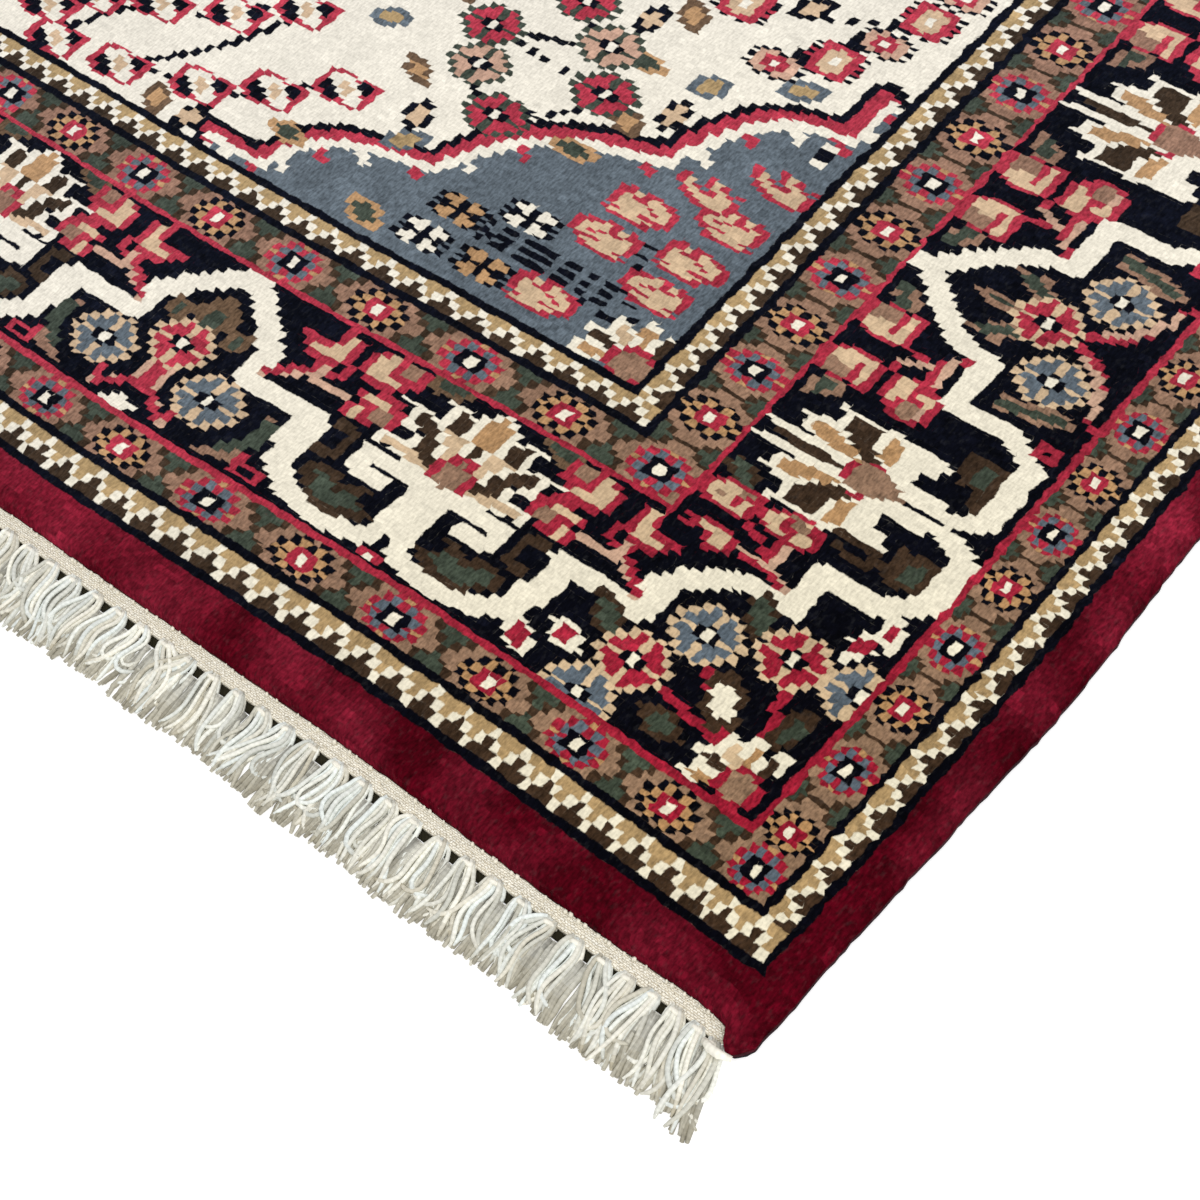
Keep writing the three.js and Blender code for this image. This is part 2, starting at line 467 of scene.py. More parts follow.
def end_cartouche(cloth, middle):
    """What fills the arch between two palmettes of the end border."""
    cloth.area([(middle - 1.2, 69), (middle + 1.2, 69), (middle + 0.5, 65.5), (middle - 0.5, 65.5)], "w")
    cloth.area([(middle - 1, 67.5), (middle + 1, 67.5), (middle + 1, 62), (middle - 1, 62)], "k")
    for side in (-1, 1):
        def at(points):
            return [(middle + side * d, r) for d, r in points]
        cloth.area(at([(2.3, 55.5), (3.2, 53.5), (2.6, 51.5), (5.2, 51.2), (6, 54), (5.6, 57.8),
                       (3.2, 56.6)]), "m")
        cloth.area(at([(3.4, 55), (4.2, 52), (5.2, 52.4), (5.2, 56)]), "g")
        cloth.area(at([(14.2, 42), (16.2, 40), (16.2, 35), (14, 31.5), (11.5, 28), (10, 25), (12, 25.5),
                       (14.5, 27), (15, 31)]), "t")
        cloth.stroke(at([(14.8, 40), (14.8, 34), (12.6, 29)]), "g", 1.6, 2.4)
        cloth.stroke(at([(15, 31), (15.2, 26)]), "r", 1, 2)
        cloth.box(middle + side * 17 - 1.6, middle + side * 17 + 1.6, 25, 29, "r")
        cloth.box(middle + side * 17 - 0.6, middle + side * 17 + 0.6, 26, 28, "k")
        cloth.stroke(at([(1.2, 40), (1.2, 33), (4, 28.5), (5.8, 26)]), "p", 1, 2)
        cloth.stroke(at([(0.6, 33), (2.6, 30.5), (4.6, 27), (5.6, 31)]), "r", 1, 2)
        flower(cloth, middle + side * 7.8 + 0.5, 37.5, "s", "e")
    cloth.stroke([(middle, 40), (middle, 32)], "r", 1.6, 2)
    cloth.area([
        (middle + 2.8, 58.5), (middle + 1.6, 61), (middle + 1, 64), (middle - 1, 64), (middle - 1.6, 61.5),
        (middle - 2.8, 59), (middle - 2.6, 55), (middle - 1, 52.6), (middle + 1, 52.6), (middle + 2.8, 55),
    ], "m")
    cloth.area([(middle - 1.4, 59.5), (middle + 1.4, 59.5), (middle + 1.4, 53.5), (middle - 1.4, 53.5)], "g")
    flower(cloth, middle + 0.5, 46, "r", "e")
    cloth.chart("..w. 2.wwww 3wwww", middle + 0.6, 25)


def side_unit(cloth, middle, first=False):
    """A palmette of the side border on its ivory stem, with ribbons, bay leaves and buds on either side."""
    long_way = [
        (18.5, 106.5), (16.8, 108.5), (15.2, 111), (15.2, 128.5), (17.3, 132), (20, 135.7),
        (27.5, 135.7), (27.5, 150.3), (31.5, 151.5), (34, 155), (36.5, 159), (38.3, 163), (40.5, 166.7),
        (41.5, 168),
    ]
    short_way = [
        (18.5, 102.5), (16.5, 101.3), (14.5, 98.5), (14.4, 86), (16, 83), (18.5, 79.7), (25.4, 79.7),
        (25.4, 68),
    ]
    upper = [(c, r - 104.5) for c, r in long_way]
    lower = [(c, 104.5 - r) for c, r in short_way] if first else upper
    for side, way in ((-1, lower), (1, upper)):
        def at(points):
            return [(c, middle + side * (r - 104.5)) for c, r in points]
        cloth.stroke([(c, middle + side * d) for c, d in way], "w", 3, 4.6)
        cloth.area(at([(22, 126.5), (17, 126.5), (16.9, 124), (16.9, 112), (18.3, 110.5), (18.7, 114),
                       (19, 117), (21, 116), (21.3, 119), (22.3, 121)]) if not (first and side < 0) else
                   [(21.5, 95.5), (20, 94), (16.4, 95.5), (16.2, 86), (19, 85), (22, 87), (21, 91)], "b")
        cloth.area(at([(20, 124), (17.8, 124), (17.8, 118), (20, 118)]) if not (first and side < 0) else
                   [(19.5, 92), (17.2, 93), (17.2, 87), (19, 87)], "g")
        # Petals from the lowest to the middle one
        cloth.area(at([(20, 105), (20, 109.5), (24.8, 109.6), (25, 113.4), (22.6, 114.2), (22.4, 119.4),
                       (28, 120.2), (31, 121.6), (31, 119.8), (36.9, 120.6), (36.8, 119.4), (36, 118),
                       (36, 114.6), (40.2, 114.4), (39.3, 112.8), (39.3, 109), (36.4, 108.4),
                       (42.6, 107.6), (42.6, 106.6), (33, 105)]), "w")
        cloth.area(at([(30, 119.2), (28.2, 117.4), (28.2, 110.6), (30, 112.4)]), "a")
        cloth.area(at([(35, 118.8), (31, 118.6), (31, 113.2), (29, 110.8), (28.6, 109), (31, 109.6),
                       (33, 111.8), (35, 114.2)]), "b")
        cloth.area(at([(38, 113.2), (34.8, 112.4), (32, 110.2), (30.6, 108.2), (33, 108), (35.6, 108.8),
                       (38, 109.8)]), "a")
    cloth.area([
        (42.8, middle + 0.6), (38, middle + 1.9), (34, middle + 1.2), (32, middle), (34, middle - 1),
        (38, middle - 1.2),
    ], "b")
    cloth.area([
        (31.6, middle - 2), (31.6, middle + 2.4), (30.2, middle + 4.8), (28.4, middle + 5), (26, middle + 3),
        (24, middle), (26.5, middle - 2.8), (28.4, middle - 4.4), (30.6, middle - 3.4),
    ], "t")
    cloth.stroke([(31.6, middle - 2), (31.6, middle + 3)], "r", 1, 2)
    cloth.stroke([(28.4, middle + 5), (29.6, middle + 5)], "r", 1, 1.2)
    cloth.stroke([(28.4, middle - 4.6), (29.4, middle - 4.6)], "r", 1, 1.2)
    cloth.area([(11.6, middle), (14, middle + 2), (18.2, middle), (14, middle - 2)], "k")
    if first:
        side_buds_short(cloth)
    for side in ((1,) if first else (-1, 1)):
        side_buds(cloth, middle, side)


def side_buds(cloth, middle, side):
    """Three buds of the side border between a palmette and the next arch."""
    def at(points):
        return [(c, middle + side * (r - 104.5)) for c, r in points]

    over = side < 0
    cloth.area(at([(42.2, 160), (40, 160.4), (38.3, 157), (38.3, 153), (40, 152.5), (42.2, 156)]), "t")
    cloth.stroke(at([(41, 158.4), (40, 154.6)]), "g", 1.8, 3)
    cloth.area(at([(42.3, 117.5), (40, 119), (38, 122), (38.4, 125.6), (41, 125.6), (42.3, 122)]), "t")
    cloth.stroke(at([(40.6, 120.6), (39.8, 124)]), "g", 1.6, 3)
    cloth.stroke(at([(36, 143.6), (31.6, 142.2)]), "r", 1, 1.8)
    cloth.stroke(at([(35.6, 139.4), (32, 142)]), "p", 1, 1.8)
    cloth.stroke(at([(31.4, 136), (31.4, 144.5)]), "r", 1, 2)
    cloth.stroke(at([(30.3, 137), (30.3, 146)]), "p", 1, 2)
    cloth.stroke(at([(29.8, 146.5), (29.8, 148)]), "r", 1, 2)
    cloth.stroke(at([(43, 147), (41.5, 147)]), "r", 1, 1.2)
    cloth.stroke(at([(43, 132), (41.5, 132)]), "r", 1, 1.2)
    cloth.stroke(at([(36, 136), (35, 139)]), "r", 1, 1.6)
    cloth.chart(SIDE_BUD, *at([(39, 147.3)])[0], over=over)
    cloth.chart(SIDE_BUD, *at([(39, 131.3)])[0], over=not over)
    cloth.chart(SIDE_BUD_LOW, *at([(31, 130.5)])[0], over=over)


def side_buds_short(cloth):
    """The same buds where the first palmette is close to the corner."""
    cloth.area([(42.4, 94), (39, 93), (37.8, 90), (38, 86.5), (40, 87.5), (42.6, 90.5)], "b")
    cloth.stroke([(39, 88), (41, 92)], "g", 1.4, 2.4)
    cloth.stroke([(28, 89.8), (22.6, 89.6), (22.4, 86), (25, 85.6), (26.4, 87)], "b", 1, 2)
    cloth.stroke([(36, 80), (33.6, 79), (32.4, 77), (31, 76)], "r", 1, 1.8)
    cloth.stroke([(31.3, 81), (31.3, 75)], "r", 1, 2)
    cloth.stroke([(30.4, 80), (30.4, 75)], "p", 1, 2)
    cloth.stroke([(36, 74.5), (31, 74), (27.5, 71)], "p", 1, 1.6)
    cloth.stroke([(34, 73.3), (30, 72.2), (28.4, 71)], "r", 1, 1.4)
    cloth.stroke([(41.5, 72.6), (38, 74)], "r", 1, 1.4)
    cloth.stroke([(43, 82.2), (41, 82.4)], "r", 1, 1.2)
    cloth.chart("..rrrrr .reettr reeetrr reeerer reterer reeerer rreeeer .rrrrr.", 39, 84)
    cloth.chart("...rrr. ..rtterr .rerttrr reerttrr reerreer reerreer .reereer ..rrrrr", 31.6, 85)
    cloth.chart("..rrrr. rreeeer .reeeer ...reer ...reer ...reer ....rr. ....r..", 38.4, 73)


def side_cartouche(cloth, middle):
    """What fills the arch between two palmettes of the side border."""
    for side in (-1, 1):
        def at(points):
            return [(c, middle + side * (167.5 - r)) for c, r in points]
        cloth.stroke(at([(20.8, 165.8), (17.5, 163.2), (15.9, 158), (14.7, 153), (13.8, 147)]), "r", 1, 2)
        cloth.stroke(at([(19.6, 163), (16.8, 160), (15.3, 155), (14, 149)]), "p", 1, 1.6)
        cloth.area(at([(33.2, 157.2), (31, 160), (28, 163.5), (26, 162), (27.4, 159), (28.5, 156.2)]), "t")
        cloth.stroke(at([(31, 158.4), (28, 161)]), "g", 1.4, 2.4)
        cloth.area(at([(24.2, 145.2), (24.2, 140.2), (20, 140.7), (16.6, 142.4), (14.3, 146),
                       (18, 147.4), (20, 145.6)]), "t")
        cloth.stroke(at([(23, 142.4), (20, 143), (17, 145)]), "g", 1.4, 2.6)
        cloth.box(14, 17, *sorted(r for _, r in at([(0, 133), (0, 138)])), "r")
        cloth.box(15, 16, *sorted(r for _, r in at([(0, 134.5), (0, 136.5)])), "k")
        cloth.chart(FLOWER, *at([(20.5, 153.5)])[0], swap="xsoe")
    cloth.area([(35, middle), (33, middle + 2), (28, middle + 2), (28, middle - 2), (33, middle - 2)], "t")
    cloth.box(30, 33.4, middle - 1, middle + 1, "g")
    cloth.area([(40, middle), (42, middle + 2.4), (45, middle), (42, middle - 2.4)], "w")
    flower(cloth, 25, middle, "r", "e")


# A knot is about as wide as two rows are long
ROWS_TO_A_COLUMN = 2


def along_and_across(cloth, column, row, turn):
    """How far each knot is along and across a line through a place, in rows. The turn is in degrees."""
    x = (cloth.column - column) * ROWS_TO_A_COLUMN
    y = cloth.row - row
    angle = math.radians(turn)
    return x * math.cos(angle) + y * math.sin(angle), y * math.cos(angle) - x * math.sin(angle)


def leaf(cloth, column, row, turn, letter, heart, length=12, width=6):
    """A pointed leaf with a smaller one in it."""
    along, across = along_and_across(cloth, column, row, turn)
    for size, tone in ((1, letter), (0.6, heart)):
        shape = np.abs(across) / (width / 2 * size) + (along / (length / 2 * size)) ** 2
        cloth.fill(shape < 1, tone)


def stem(cloth, start, end, bend, letter="k", dotted=False):
    """An arc from one place to another, bent aside by some columns, as a line or as dots."""
    share = np.linspace(0, 1, 9)
    way = np.outer(1 - share, start) + np.outer(share, end)
    way[:, 0] += bend * np.sin(math.pi * share)
    if dotted:
        for spot in way[1:-1]:
            cloth.stroke([spot, spot], letter, 1.2, 2.4)
    else:
        cloth.stroke(way, letter, 1, 2)


def fan(cloth, column, row, turn, reach=18, petals=7):
    """A palmette seen from the side: long petals with ivory edges, spread out from a red and tan heart."""
    along, across = along_and_across(cloth, column, row, turn)
    distance = np.hypot(along, across)
    place = (np.arctan2(across, along) / math.radians(75) + 1) / 2 * petals
    petal = np.floor(place).astype(int)
    from_edge = 0.5 - np.abs(place - petal - 0.5)
    tip = reach * (0.72 + 0.28 * np.sin(math.pi * (place - petal)))
    inside = (petal >= 0) & (petal < petals) & (distance < tip)
    cloth.fill(inside, "w")
    for k, tone in enumerate("abe"):
        cloth.fill(inside & (from_edge > 0.2) & (distance < tip - 2.4) & (petal % 3 == k), tone)
    cloth.fill(distance < 0.4 * reach, "r")
    cloth.fill(distance < 0.3 * reach, "t")


def corner_piece(cloth):
    """Where the two arms of the main border meet: flowers that grow from a fan in the corner."""
    root = (18, 33)
    for end, bend in (((29, 50), 2), ((21.5, 57), -1), ((33, 38), 1)):
        stem(cloth, root, end, bend, "r")
    for column, row, turn in ((40, 44, 40), (27.5, 63, 60), (16.4, 45, 100), (27.5, 30.5, 10)):
        leaf(cloth, column, row, turn, "b", "g", 14, 7)
    leaf(cloth, 24, 42, 60, "b", "w", 18, 9)
    for column, row, turn in ((42, 35, 20), (46, 29, 60), (17, 69.5, 100), (15.5, 76, 60)):
        leaf(cloth, column, row, turn, "w", "r", 11, 6)
    for column, row, petals in (
        (30, 52.5, "s"), (21.8, 58.5, "r"), (34, 38.5, "r"), (36.5, 25, "s"), (13.2, 59.8, "s"),
    ):
        flower(cloth, column, row, petals, "e")
    fan(cloth, 16.5, 28, 45, 13, 5)


SIDE_BUD = "..rr.rr 4rtttrer rteerer 2reeerer reeeeer .reeeer ..rrrr."
SIDE_BUD_LOW = "..rrr.. 2reerrr. 2reereer 2reerrer 2rerttpr 2.rrttpr ..rttr. ..rrrr."
CROSS_FLOWER = ".kw.wk. 2kwwkwwk .kwkwk. kkkkkkk .kwkwk. 2kwwkwwk .kw.wk."
TULIP = "...rr.r. .rrererr rreererr reeerrer reereeer rereeeer reeeeeer rrrreeer .reeeer. ..reeeer ..rrrrr."
POINTED_TULIP = "...r.... ...rer.. r..rer.r re.reer. rer.reer reerreer .reeeeer .rreeeer ..rreeer ...rrrr."
SMALL_FLOWER = "..k.k.. .kpkpk. kpprppk .prrrp. 2kprwrpk .prrrp. kpprppk .kpkpk. ..k.k.."
RING_FLOWER = """
    ..k.k.. .rrrrr. krrerrk .reeer. kreeerk rrewerr krewerk rrewerr kreeerk .reeer. krrerrk .rrrrr. ..k.k..
"""
BOX_FLOWER = """
    .rrr.rrr rrwwrkkr rwwwwkkr rwwewkkr rwweewkr rkweewrr 2rkkwewwr rkkkwwwr rrkkrwwr .rkkrrr. ..rr....
"""
# The slate corner: where it starts, how far it reaches, and its hollow edge of scallops
SPANDREL_CORNER = np.array([56, 96])
SPANDREL_REACH = np.array([62, 110])
SPANDREL_HOLLOW = 2.3
SCALLOPS = 5
SCALLOP_DEPTH = 3
SCALLOP_STEPS = 12


def spandrel_edge():
    """The scalloped edge of the slate corner, from the end border to the side border."""
    share = np.linspace(0, 1, SCALLOPS * SCALLOP_STEPS + 1)
    angle = share * math.pi / 2
    hollow = np.stack([np.cos(angle) ** SPANDREL_HOLLOW, np.abs(np.sin(angle)) ** SPANDREL_HOLLOW], axis=1)
    bulge = SCALLOP_DEPTH * np.abs(np.sin(math.pi * SCALLOPS * share))
    return SPANDREL_CORNER + hollow * SPANDREL_REACH + np.stack([bulge, ROWS_TO_A_COLUMN * bulge], axis=1)


def spandrel(cloth):
    """The slate corner of the field, its toothed red edge and its flowers."""
    edge = spandrel_edge()
    before = cloth.letters.copy()
    cloth.area([tuple(SPANDREL_CORNER), *map(tuple, edge)], "s")
    inside = cloth.letters != before
    for tooth, letter in zip(edge[2:-2:3], "wr" * len(edge)):
        cloth.stroke([tooth, tooth - (4, 8)], letter, 1.3, 2.6)
    cloth.stroke(edge - (2.1, 3.9), "w", 2, 4)
    cloth.stroke(edge - (1, 1.9), "r", 1.7, 3.4)
    cloth.letters[~inside] = before[~inside]
    cloth.stroke(edge, "k", 1.2, 2.2)
    for end in ((66, 138), (86, 116)):
        stem(cloth, (60, 108), end, 2, dotted=True)
    for row in (112, 115, 118):
        for column in np.arange(65, 83, 2.6):
            cloth.stroke([(column, row), (column + 1.7, row)], "k", 1, 1)
    for column, row, swap in ((78.5, 124.5, ""), (86.5, 104.5, ""), (85.5, 116.5, "wa"), (78.5, 104, "wa")):
        cloth.chart(CROSS_FLOWER, column, row, swap=swap)
    for column, row, flip in (
        (71.4, 130, False), (70.2, 143, True), (61, 150, False), (61, 135, True), (62, 122, False),
        (71, 105, True),
    ):
        cloth.chart(TULIP, column, row, flip=flip)
    for column, row in ((65.5, 157), (60, 168)):
        cloth.chart(POINTED_TULIP, column, row)
    leaf(cloth, 94, 102, 30, "a", "g", 15, 8)
    leaf(cloth, 59, 182, 90, "w", "k", 9, 6)
    fan(cloth, 58, 100, 50, 15, 5)


def field(cloth):
    """Flowers and leaves on the ivory field."""
    flowers = (
        (98.5, 160, "p"), (91.5, 148.5, "r"), (83.5, 169.5, "r"), (101.5, 173.5, "r"), (87.5, 183, "p"),
        (94, 193, "r"),
    )
    small = ((63.3, 221), (71.2, 200.5), (60, 244.5))
    rings = ((66.8, 209.6), (61.5, 233), (79.6, 214))
    boxes = (
        (108.5, 132.5), (115.8, 120.5), (124.3, 110.5), (135, 104), (122, 149.5), (128.5, 138), (138.2, 129),
        (144.5, 101), (149.5, 110), (146, 120.5),
    )
    # Stems join each flower to the next one of its kind
    middles = [place[:2] for place in flowers]
    for places in (middles, small, rings, boxes):
        for k, (start, end) in enumerate(zip(places, places[1:])):
            stem(cloth, start, end, 2 - 4 * (k % 2), dotted=k % 3 > 0)
    # Leaves in the colours of the silks, turned by turns
    leaves = (
        (104, 150), (99, 137), (97.5, 128), (81, 150), (79, 165), (75.5, 173), (75, 186), (83, 184),
        (83, 204), (86.5, 197), (66.5, 197), (110, 112), (127, 101), (121.5, 101), (112.5, 161),
        (117, 171), (108, 181), (73, 222),
    )
    for k, (column, row) in enumerate(leaves):
        leaf(cloth, column, row, 35 + 47 * k, "mksa"[k % 4], "aeyg"[k % 4], 13, 7)
    for column, row, petals in flowers:
        flower(cloth, column, row, petals, "g")
    for chart, places in ((SMALL_FLOWER, small), (RING_FLOWER, rings), (BOX_FLOWER, boxes)):
        for column, row in places:
            cloth.chart(chart, column, row)
    # The unseen middle: a slate medallion with a crimson edge, and scattered flowers between
    across = np.abs(cloth.column - MIDDLE_COLUMN) / 58
    along = np.abs(cloth.row - MIDDLE_ROW) / 210
    reach = across + along + 0.05 * np.cos(6 * np.pi * along)
    cloth.fill(reach < 1, "k")
    cloth.fill(reach < 0.985, "r")
    cloth.fill(reach < 0.94, "s")
    cloth.fill(reach < 0.62, "k")
    cloth.fill(reach < 0.605, "w")
    cloth.fill(reach < 0.56, "c")
    for row in np.arange(270, 620, 34):
        for k, column in enumerate(np.arange(66, 164, 15)):
            place = (column + 3 * np.sin(row), row + 17 * (k % 2))
            inside = abs(place[0] - MIDDLE_COLUMN) / 58 + abs(place[1] - MIDDLE_ROW) / 210
            if inside < 0.5 or 0.68 < inside < 0.86:
                flower(cloth, *place, "e", "k")
            elif inside > 1.12:
                flower(cloth, *place, "r" if k % 2 else "p", "g")
    for row in np.arange(200, 262, 30):
        for k, column in enumerate(np.arange(100, 164, 15)):
            flower(cloth, column, row + 15 * (k % 2), "p" if k % 2 else "r", "g")
    flower(cloth, MIDDLE_COLUMN, MIDDLE_ROW, "w", "r")


def quarter():
    cloth = Cloth()
    c0, r0 = 0, 0
    for wide, high, letter in BORDERS:
        cloth.fill((cloth.column > c0) & (cloth.row > r0), letter)
        c0 += wide
        r0 += high
    cloth.fill((cloth.column > c0) & (cloth.row > r0), "w")
    zigzags(cloth)
    guards(cloth)
    frame = cloth.letters.copy()
    end_unit(cloth, 63.5, first=True)
    end_unit(cloth, 130.5)
    for middle in (97, 164):
        end_cartouche(cloth, middle)
    for k in range(5):
        side_unit(cloth, 104.5 + 126 * k, first=k == 0)
    for k in range(4):
        side_cartouche(cloth, 167.5 + 126 * k)
    corner_piece(cloth)
    main = (cloth.column > 13) & (cloth.row > 23) & ((cloth.column < 43) | (cloth.row < 73))
    cloth.letters[~main] = frame[~main]
    in_field = (cloth.column > 56) & (cloth.row > 96)
    frame = cloth.letters.copy()
    spandrel(cloth)
    field(cloth)
    cloth.letters[~in_field] = frame[~in_field]
    return cloth.letters


def whole_pattern():
    """The letters of all knots, a row of the array for each row of knots from the end in view."""
    near = quarter()
    half = np.concatenate([near[:, :], near[:, ::-1]], axis=1)
    return np.concatenate([half, half[:ROWS - HALF_ROWS][::-1]], axis=0)


# Shape of the cloth


def smooth(value, low, high):
    share = np.clip((value - low) / (high - low), 0, 1)
    return share * share * (3 - 2 * share)


def side_wave(distance):
    return sum(push * np.exp(-(((distance - at) / reach) ** 2)) for at, reach, push in SIDE_BUMPS)


def along_end(x, places):
    """A value given at distances from the nearer side edge, at places x on an end."""
    return np.interp(RUG_WIDTH / 2 - np.abs(x), *zip(*places))


def uneven(x, y):
    """Moves points of the even outline to the uneven one."""
    side, end = np.sign(x), np.sign(y)
    from_end = RUG_LENGTH / 2 - np.abs(y)
    near_side = smooth(np.abs(x), 0, RUG_WIDTH / 2)
    inner = smooth(from_end, 0, LIP_REACH)
    rows = along_end(x, ROW_WAVE) * (1 - smooth(from_end, *ROW_WAVE_REACH))
    drawn = np.interp(from_end, *zip(*SIDE_DRAW)) * (1 - smooth(RUG_WIDTH / 2 - np.abs(x), 0, SIDE_REACH))
    return (
        x + side * (near_side * side_wave(side * y + RUG_LENGTH / 2) + drawn),
        y + end * (along_end(x, CORNER_LIP + END_WAVE) * (1 - inner) + rows * inner),
    )


def knot_lines(count, places, size):
    """Where the lines between knots lie, from one edge to the other."""
    line = np.arange(count + 1)
    from_edge = np.minimum(line, count - line)
    inset = np.interp(from_edge, *zip(*places))
    return np.where(line * 2 <= count, inset - size / 2, size / 2 - inset)


def edge_height(inset):
    """Height of the pile's top at a distance in from its edge."""
    share = np.clip(inset / EDGE_WIDTH, 0, 1)
    return EDGE_TOP + (THICKNESS - EDGE_TOP) * np.sqrt(1 - (1 - share) ** 2)


def pile_surface(draw):
    """Points of the knot grid, rows by columns, on the top of the pile."""
    x, y = np.meshgrid(
        -knot_lines(COLUMNS, COLUMN_PLACES, RUG_WIDTH),
        knot_lines(ROWS, ROW_PLACES, RUG_LENGTH),
    )
    inset = np.minimum(RUG_WIDTH / 2 - np.abs(x), RUG_LENGTH / 2 - np.abs(y))
    stray = 0.4 + 0.6 * smooth(inset, 0.5, 4)
    x, y = uneven(
        x + stray * draw.normal(0, KNOT_STRAY_X, x.shape),
        y + stray * draw.normal(0, KNOT_STRAY_Y, y.shape),
    )
    z = edge_height(inset) + smooth(inset, 0.5, 4) * draw.normal(0, KNOT_STRAY_Z, inset.shape)
    return np.stack([x, y, z], axis=-1)


def block_lines(count, size):
    """Lines of the knot grid that the blocks of the back lie between."""
    return np.unique(np.append(np.arange(0, count, size), count))


def free_lines(letters, phase):
    """True at each line between two like knots of a column that may share a face."""
    rows = len(letters)
    free = np.zeros((rows + 1, letters.shape[1]), bool)
    line = np.arange(1, rows)
    free[1:-1] = (letters[1:] == letters[:-1]) & ((line + phase) % 2 == 0)[:, None]
    return free


def knot_faces(letters):
    """Faces of the pile over a block of knots, padded with -1, each face's knot and the points in use."""
    rows, columns = letters.shape
    free = max((free_lines(letters, phase) for phase in (0, 1)), key=np.sum)
    used = np.ones((rows + 1, columns + 1), bool)
    used[:, 1:-1] = ~(free[:, 1:] & free[:, :-1])
    used[:, 0] = ~free[:, 0]
    used[:, -1] = ~free[:, -1]
    used[block_lines(rows, BACK_ROWS)] = True
    row, column = np.nonzero(~free[:-1])
    middle = row + 1
    double = free[middle, column]
    top = middle + double

    def corner(line, side, wanted=True):
        return np.where(wanted, line * (columns + 1) + side, -1)

    faces = np.stack([
        corner(row, column),
        corner(middle, column, double & used[middle, column]),
        corner(top, column),
        corner(top, column + 1),
        corner(middle, column + 1, double & used[middle, column + 1]),
        corner(row, column + 1),
    ], axis=1)
    return faces, row, column, used


# Meshes


def pad(faces, width):
    return np.pad(faces, ((0, 0), (0, width - faces.shape[1])), constant_values=-1)


def add_mesh(name, points, faces, material, colours=None, maps=None):
    """A mesh in metres from points in millimetres and faces padded with -1. Each layer of colours has
    one to a face or one to a corner, and maps have a place to each corner."""
    mesh = bpy.data.meshes.new(name)
    wanted = faces >= 0
    sizes = wanted.sum(axis=1)
    mesh.vertices.add(len(points))
    mesh.vertices.foreach_set("co", (np.asarray(points) * MM).astype(np.float32).ravel())
    mesh.loops.add(int(sizes.sum()))
    mesh.loops.foreach_set("vertex_index", faces[wanted].astype(np.int32))
    mesh.polygons.add(len(faces))
    mesh.polygons.foreach_set("loop_start", (np.cumsum(sizes) - sizes).astype(np.int32))
    mesh.polygons.foreach_set("loop_total", sizes.astype(np.int32))
    mesh.update(calc_edges=True)
    mesh.materials.append(material)
    for layer_name, layer_colours in (colours or {}).items():
        colour = np.ones((int(sizes.sum()), 4), np.float32)
        colour[:, :3] = (
            layer_colours[wanted] if layer_colours.ndim == 3 else np.repeat(layer_colours, sizes, axis=0)
        )
        layer = mesh.color_attributes.new(layer_name, "FLOAT_COLOR", "CORNER")
        layer.data.foreach_set("color", colour.ravel())
    if maps is not None:
        layer = mesh.uv_layers.new(name="threads")
        layer.uv.foreach_set("vector", maps[wanted].astype(np.float32).ravel())
    piece = bpy.data.objects.new(name, mesh)
    bpy.context.scene.collection.objects.link(piece)
    return piece


def to_linear(colour):
    value = np.asarray(colour, float) / 255
    return np.where(value <= 0.04045, value / 12.92, ((value + 0.055) / 1.055) ** 2.4)


# Pile


def clouds(x, y, reach, draw):
    """A slow uneven field over the rug, about -1 to 1."""
    field = np.zeros(x.shape)
    for _ in range(CLOUD_WAVES):
        turn, phase = draw.uniform(0, 2 * np.pi, 2)
        length = reach * draw.uniform(1, 2.6)
        field += np.sin(2 * np.pi * (x * np.cos(turn) + y * np.sin(turn)) / length + phase)
    return field / math.sqrt(CLOUD_WAVES)


def knot_tones(letters, surface, draw):
    """The colour of each knot, uneven as dyed silk is, with painted sheen lighter away from the corner and
    broad patches of painted light and shade.
    """
    x, y = surface[:-1, :-1, 0], surface[:-1, :-1, 1]
    tones, sheen_tones = np.zeros((2, 256, 3))
    change = np.zeros(256)
    for letter, colour in PALETTE.items():
        tones[ord(letter)] = to_linear(colour)
        sheen_tones[ord(letter)] = to_linear(SHEEN_PALETTE[letter])
        change[ord(letter)] = TONE_CHANGE[letter]
    from_corner = np.hypot(RUG_WIDTH / 2 - np.abs(x), RUG_LENGTH / 2 - np.abs(y))
    # Painted sheen: silks lighter away from the corner, and the crimson lighter also in clouds
    sheen_share = smooth(from_corner, *SHEEN_FROM)
    crimson = np.clip(0.66 * sheen_share + CRIMSON_SHEEN_CLOUDS * clouds(x, y, 14, draw), 0, 1)
    sheen_share = np.where(letters == ord("c"), crimson, sheen_share)[..., None]
    tone = tones[letters] * (1 - sheen_share) + sheen_tones[letters] * sheen_share
    # Random tone for each knot and in small clouds, as dyed silk has; the broadest clouds are painted light
    # and shade
    field = 0.75 * draw.normal(0, 1, x.shape) + 0.5 * clouds(x, y, 8, draw) + 0.4 * clouds(x, y, 45, draw)
    return tone * np.exp(change[letters] * field)[..., None]


def next_tones(faces, row, column, columns, tones):
    """At each corner of the knots' faces, the colours of the knots beside and beyond it. tones has one knot
    more on every side than the faces."""
    line, side = np.divmod(np.maximum(faces, 0), columns + 1)
    row, column = row[:, None], column[:, None]
    last = np.max(line, axis=1, keepdims=True) - 1
    level = np.maximum(line - 1, row)
    beside = tones[level + 1, np.where(side == column, column, column + 2)]
    beyond_row = np.select([line == row, line == last + 1], [row - 1, last + 1], row)
    beyond = tones[beyond_row + 1, column + 1 + 0 * line]
    return beside, beyond, last - row + 1


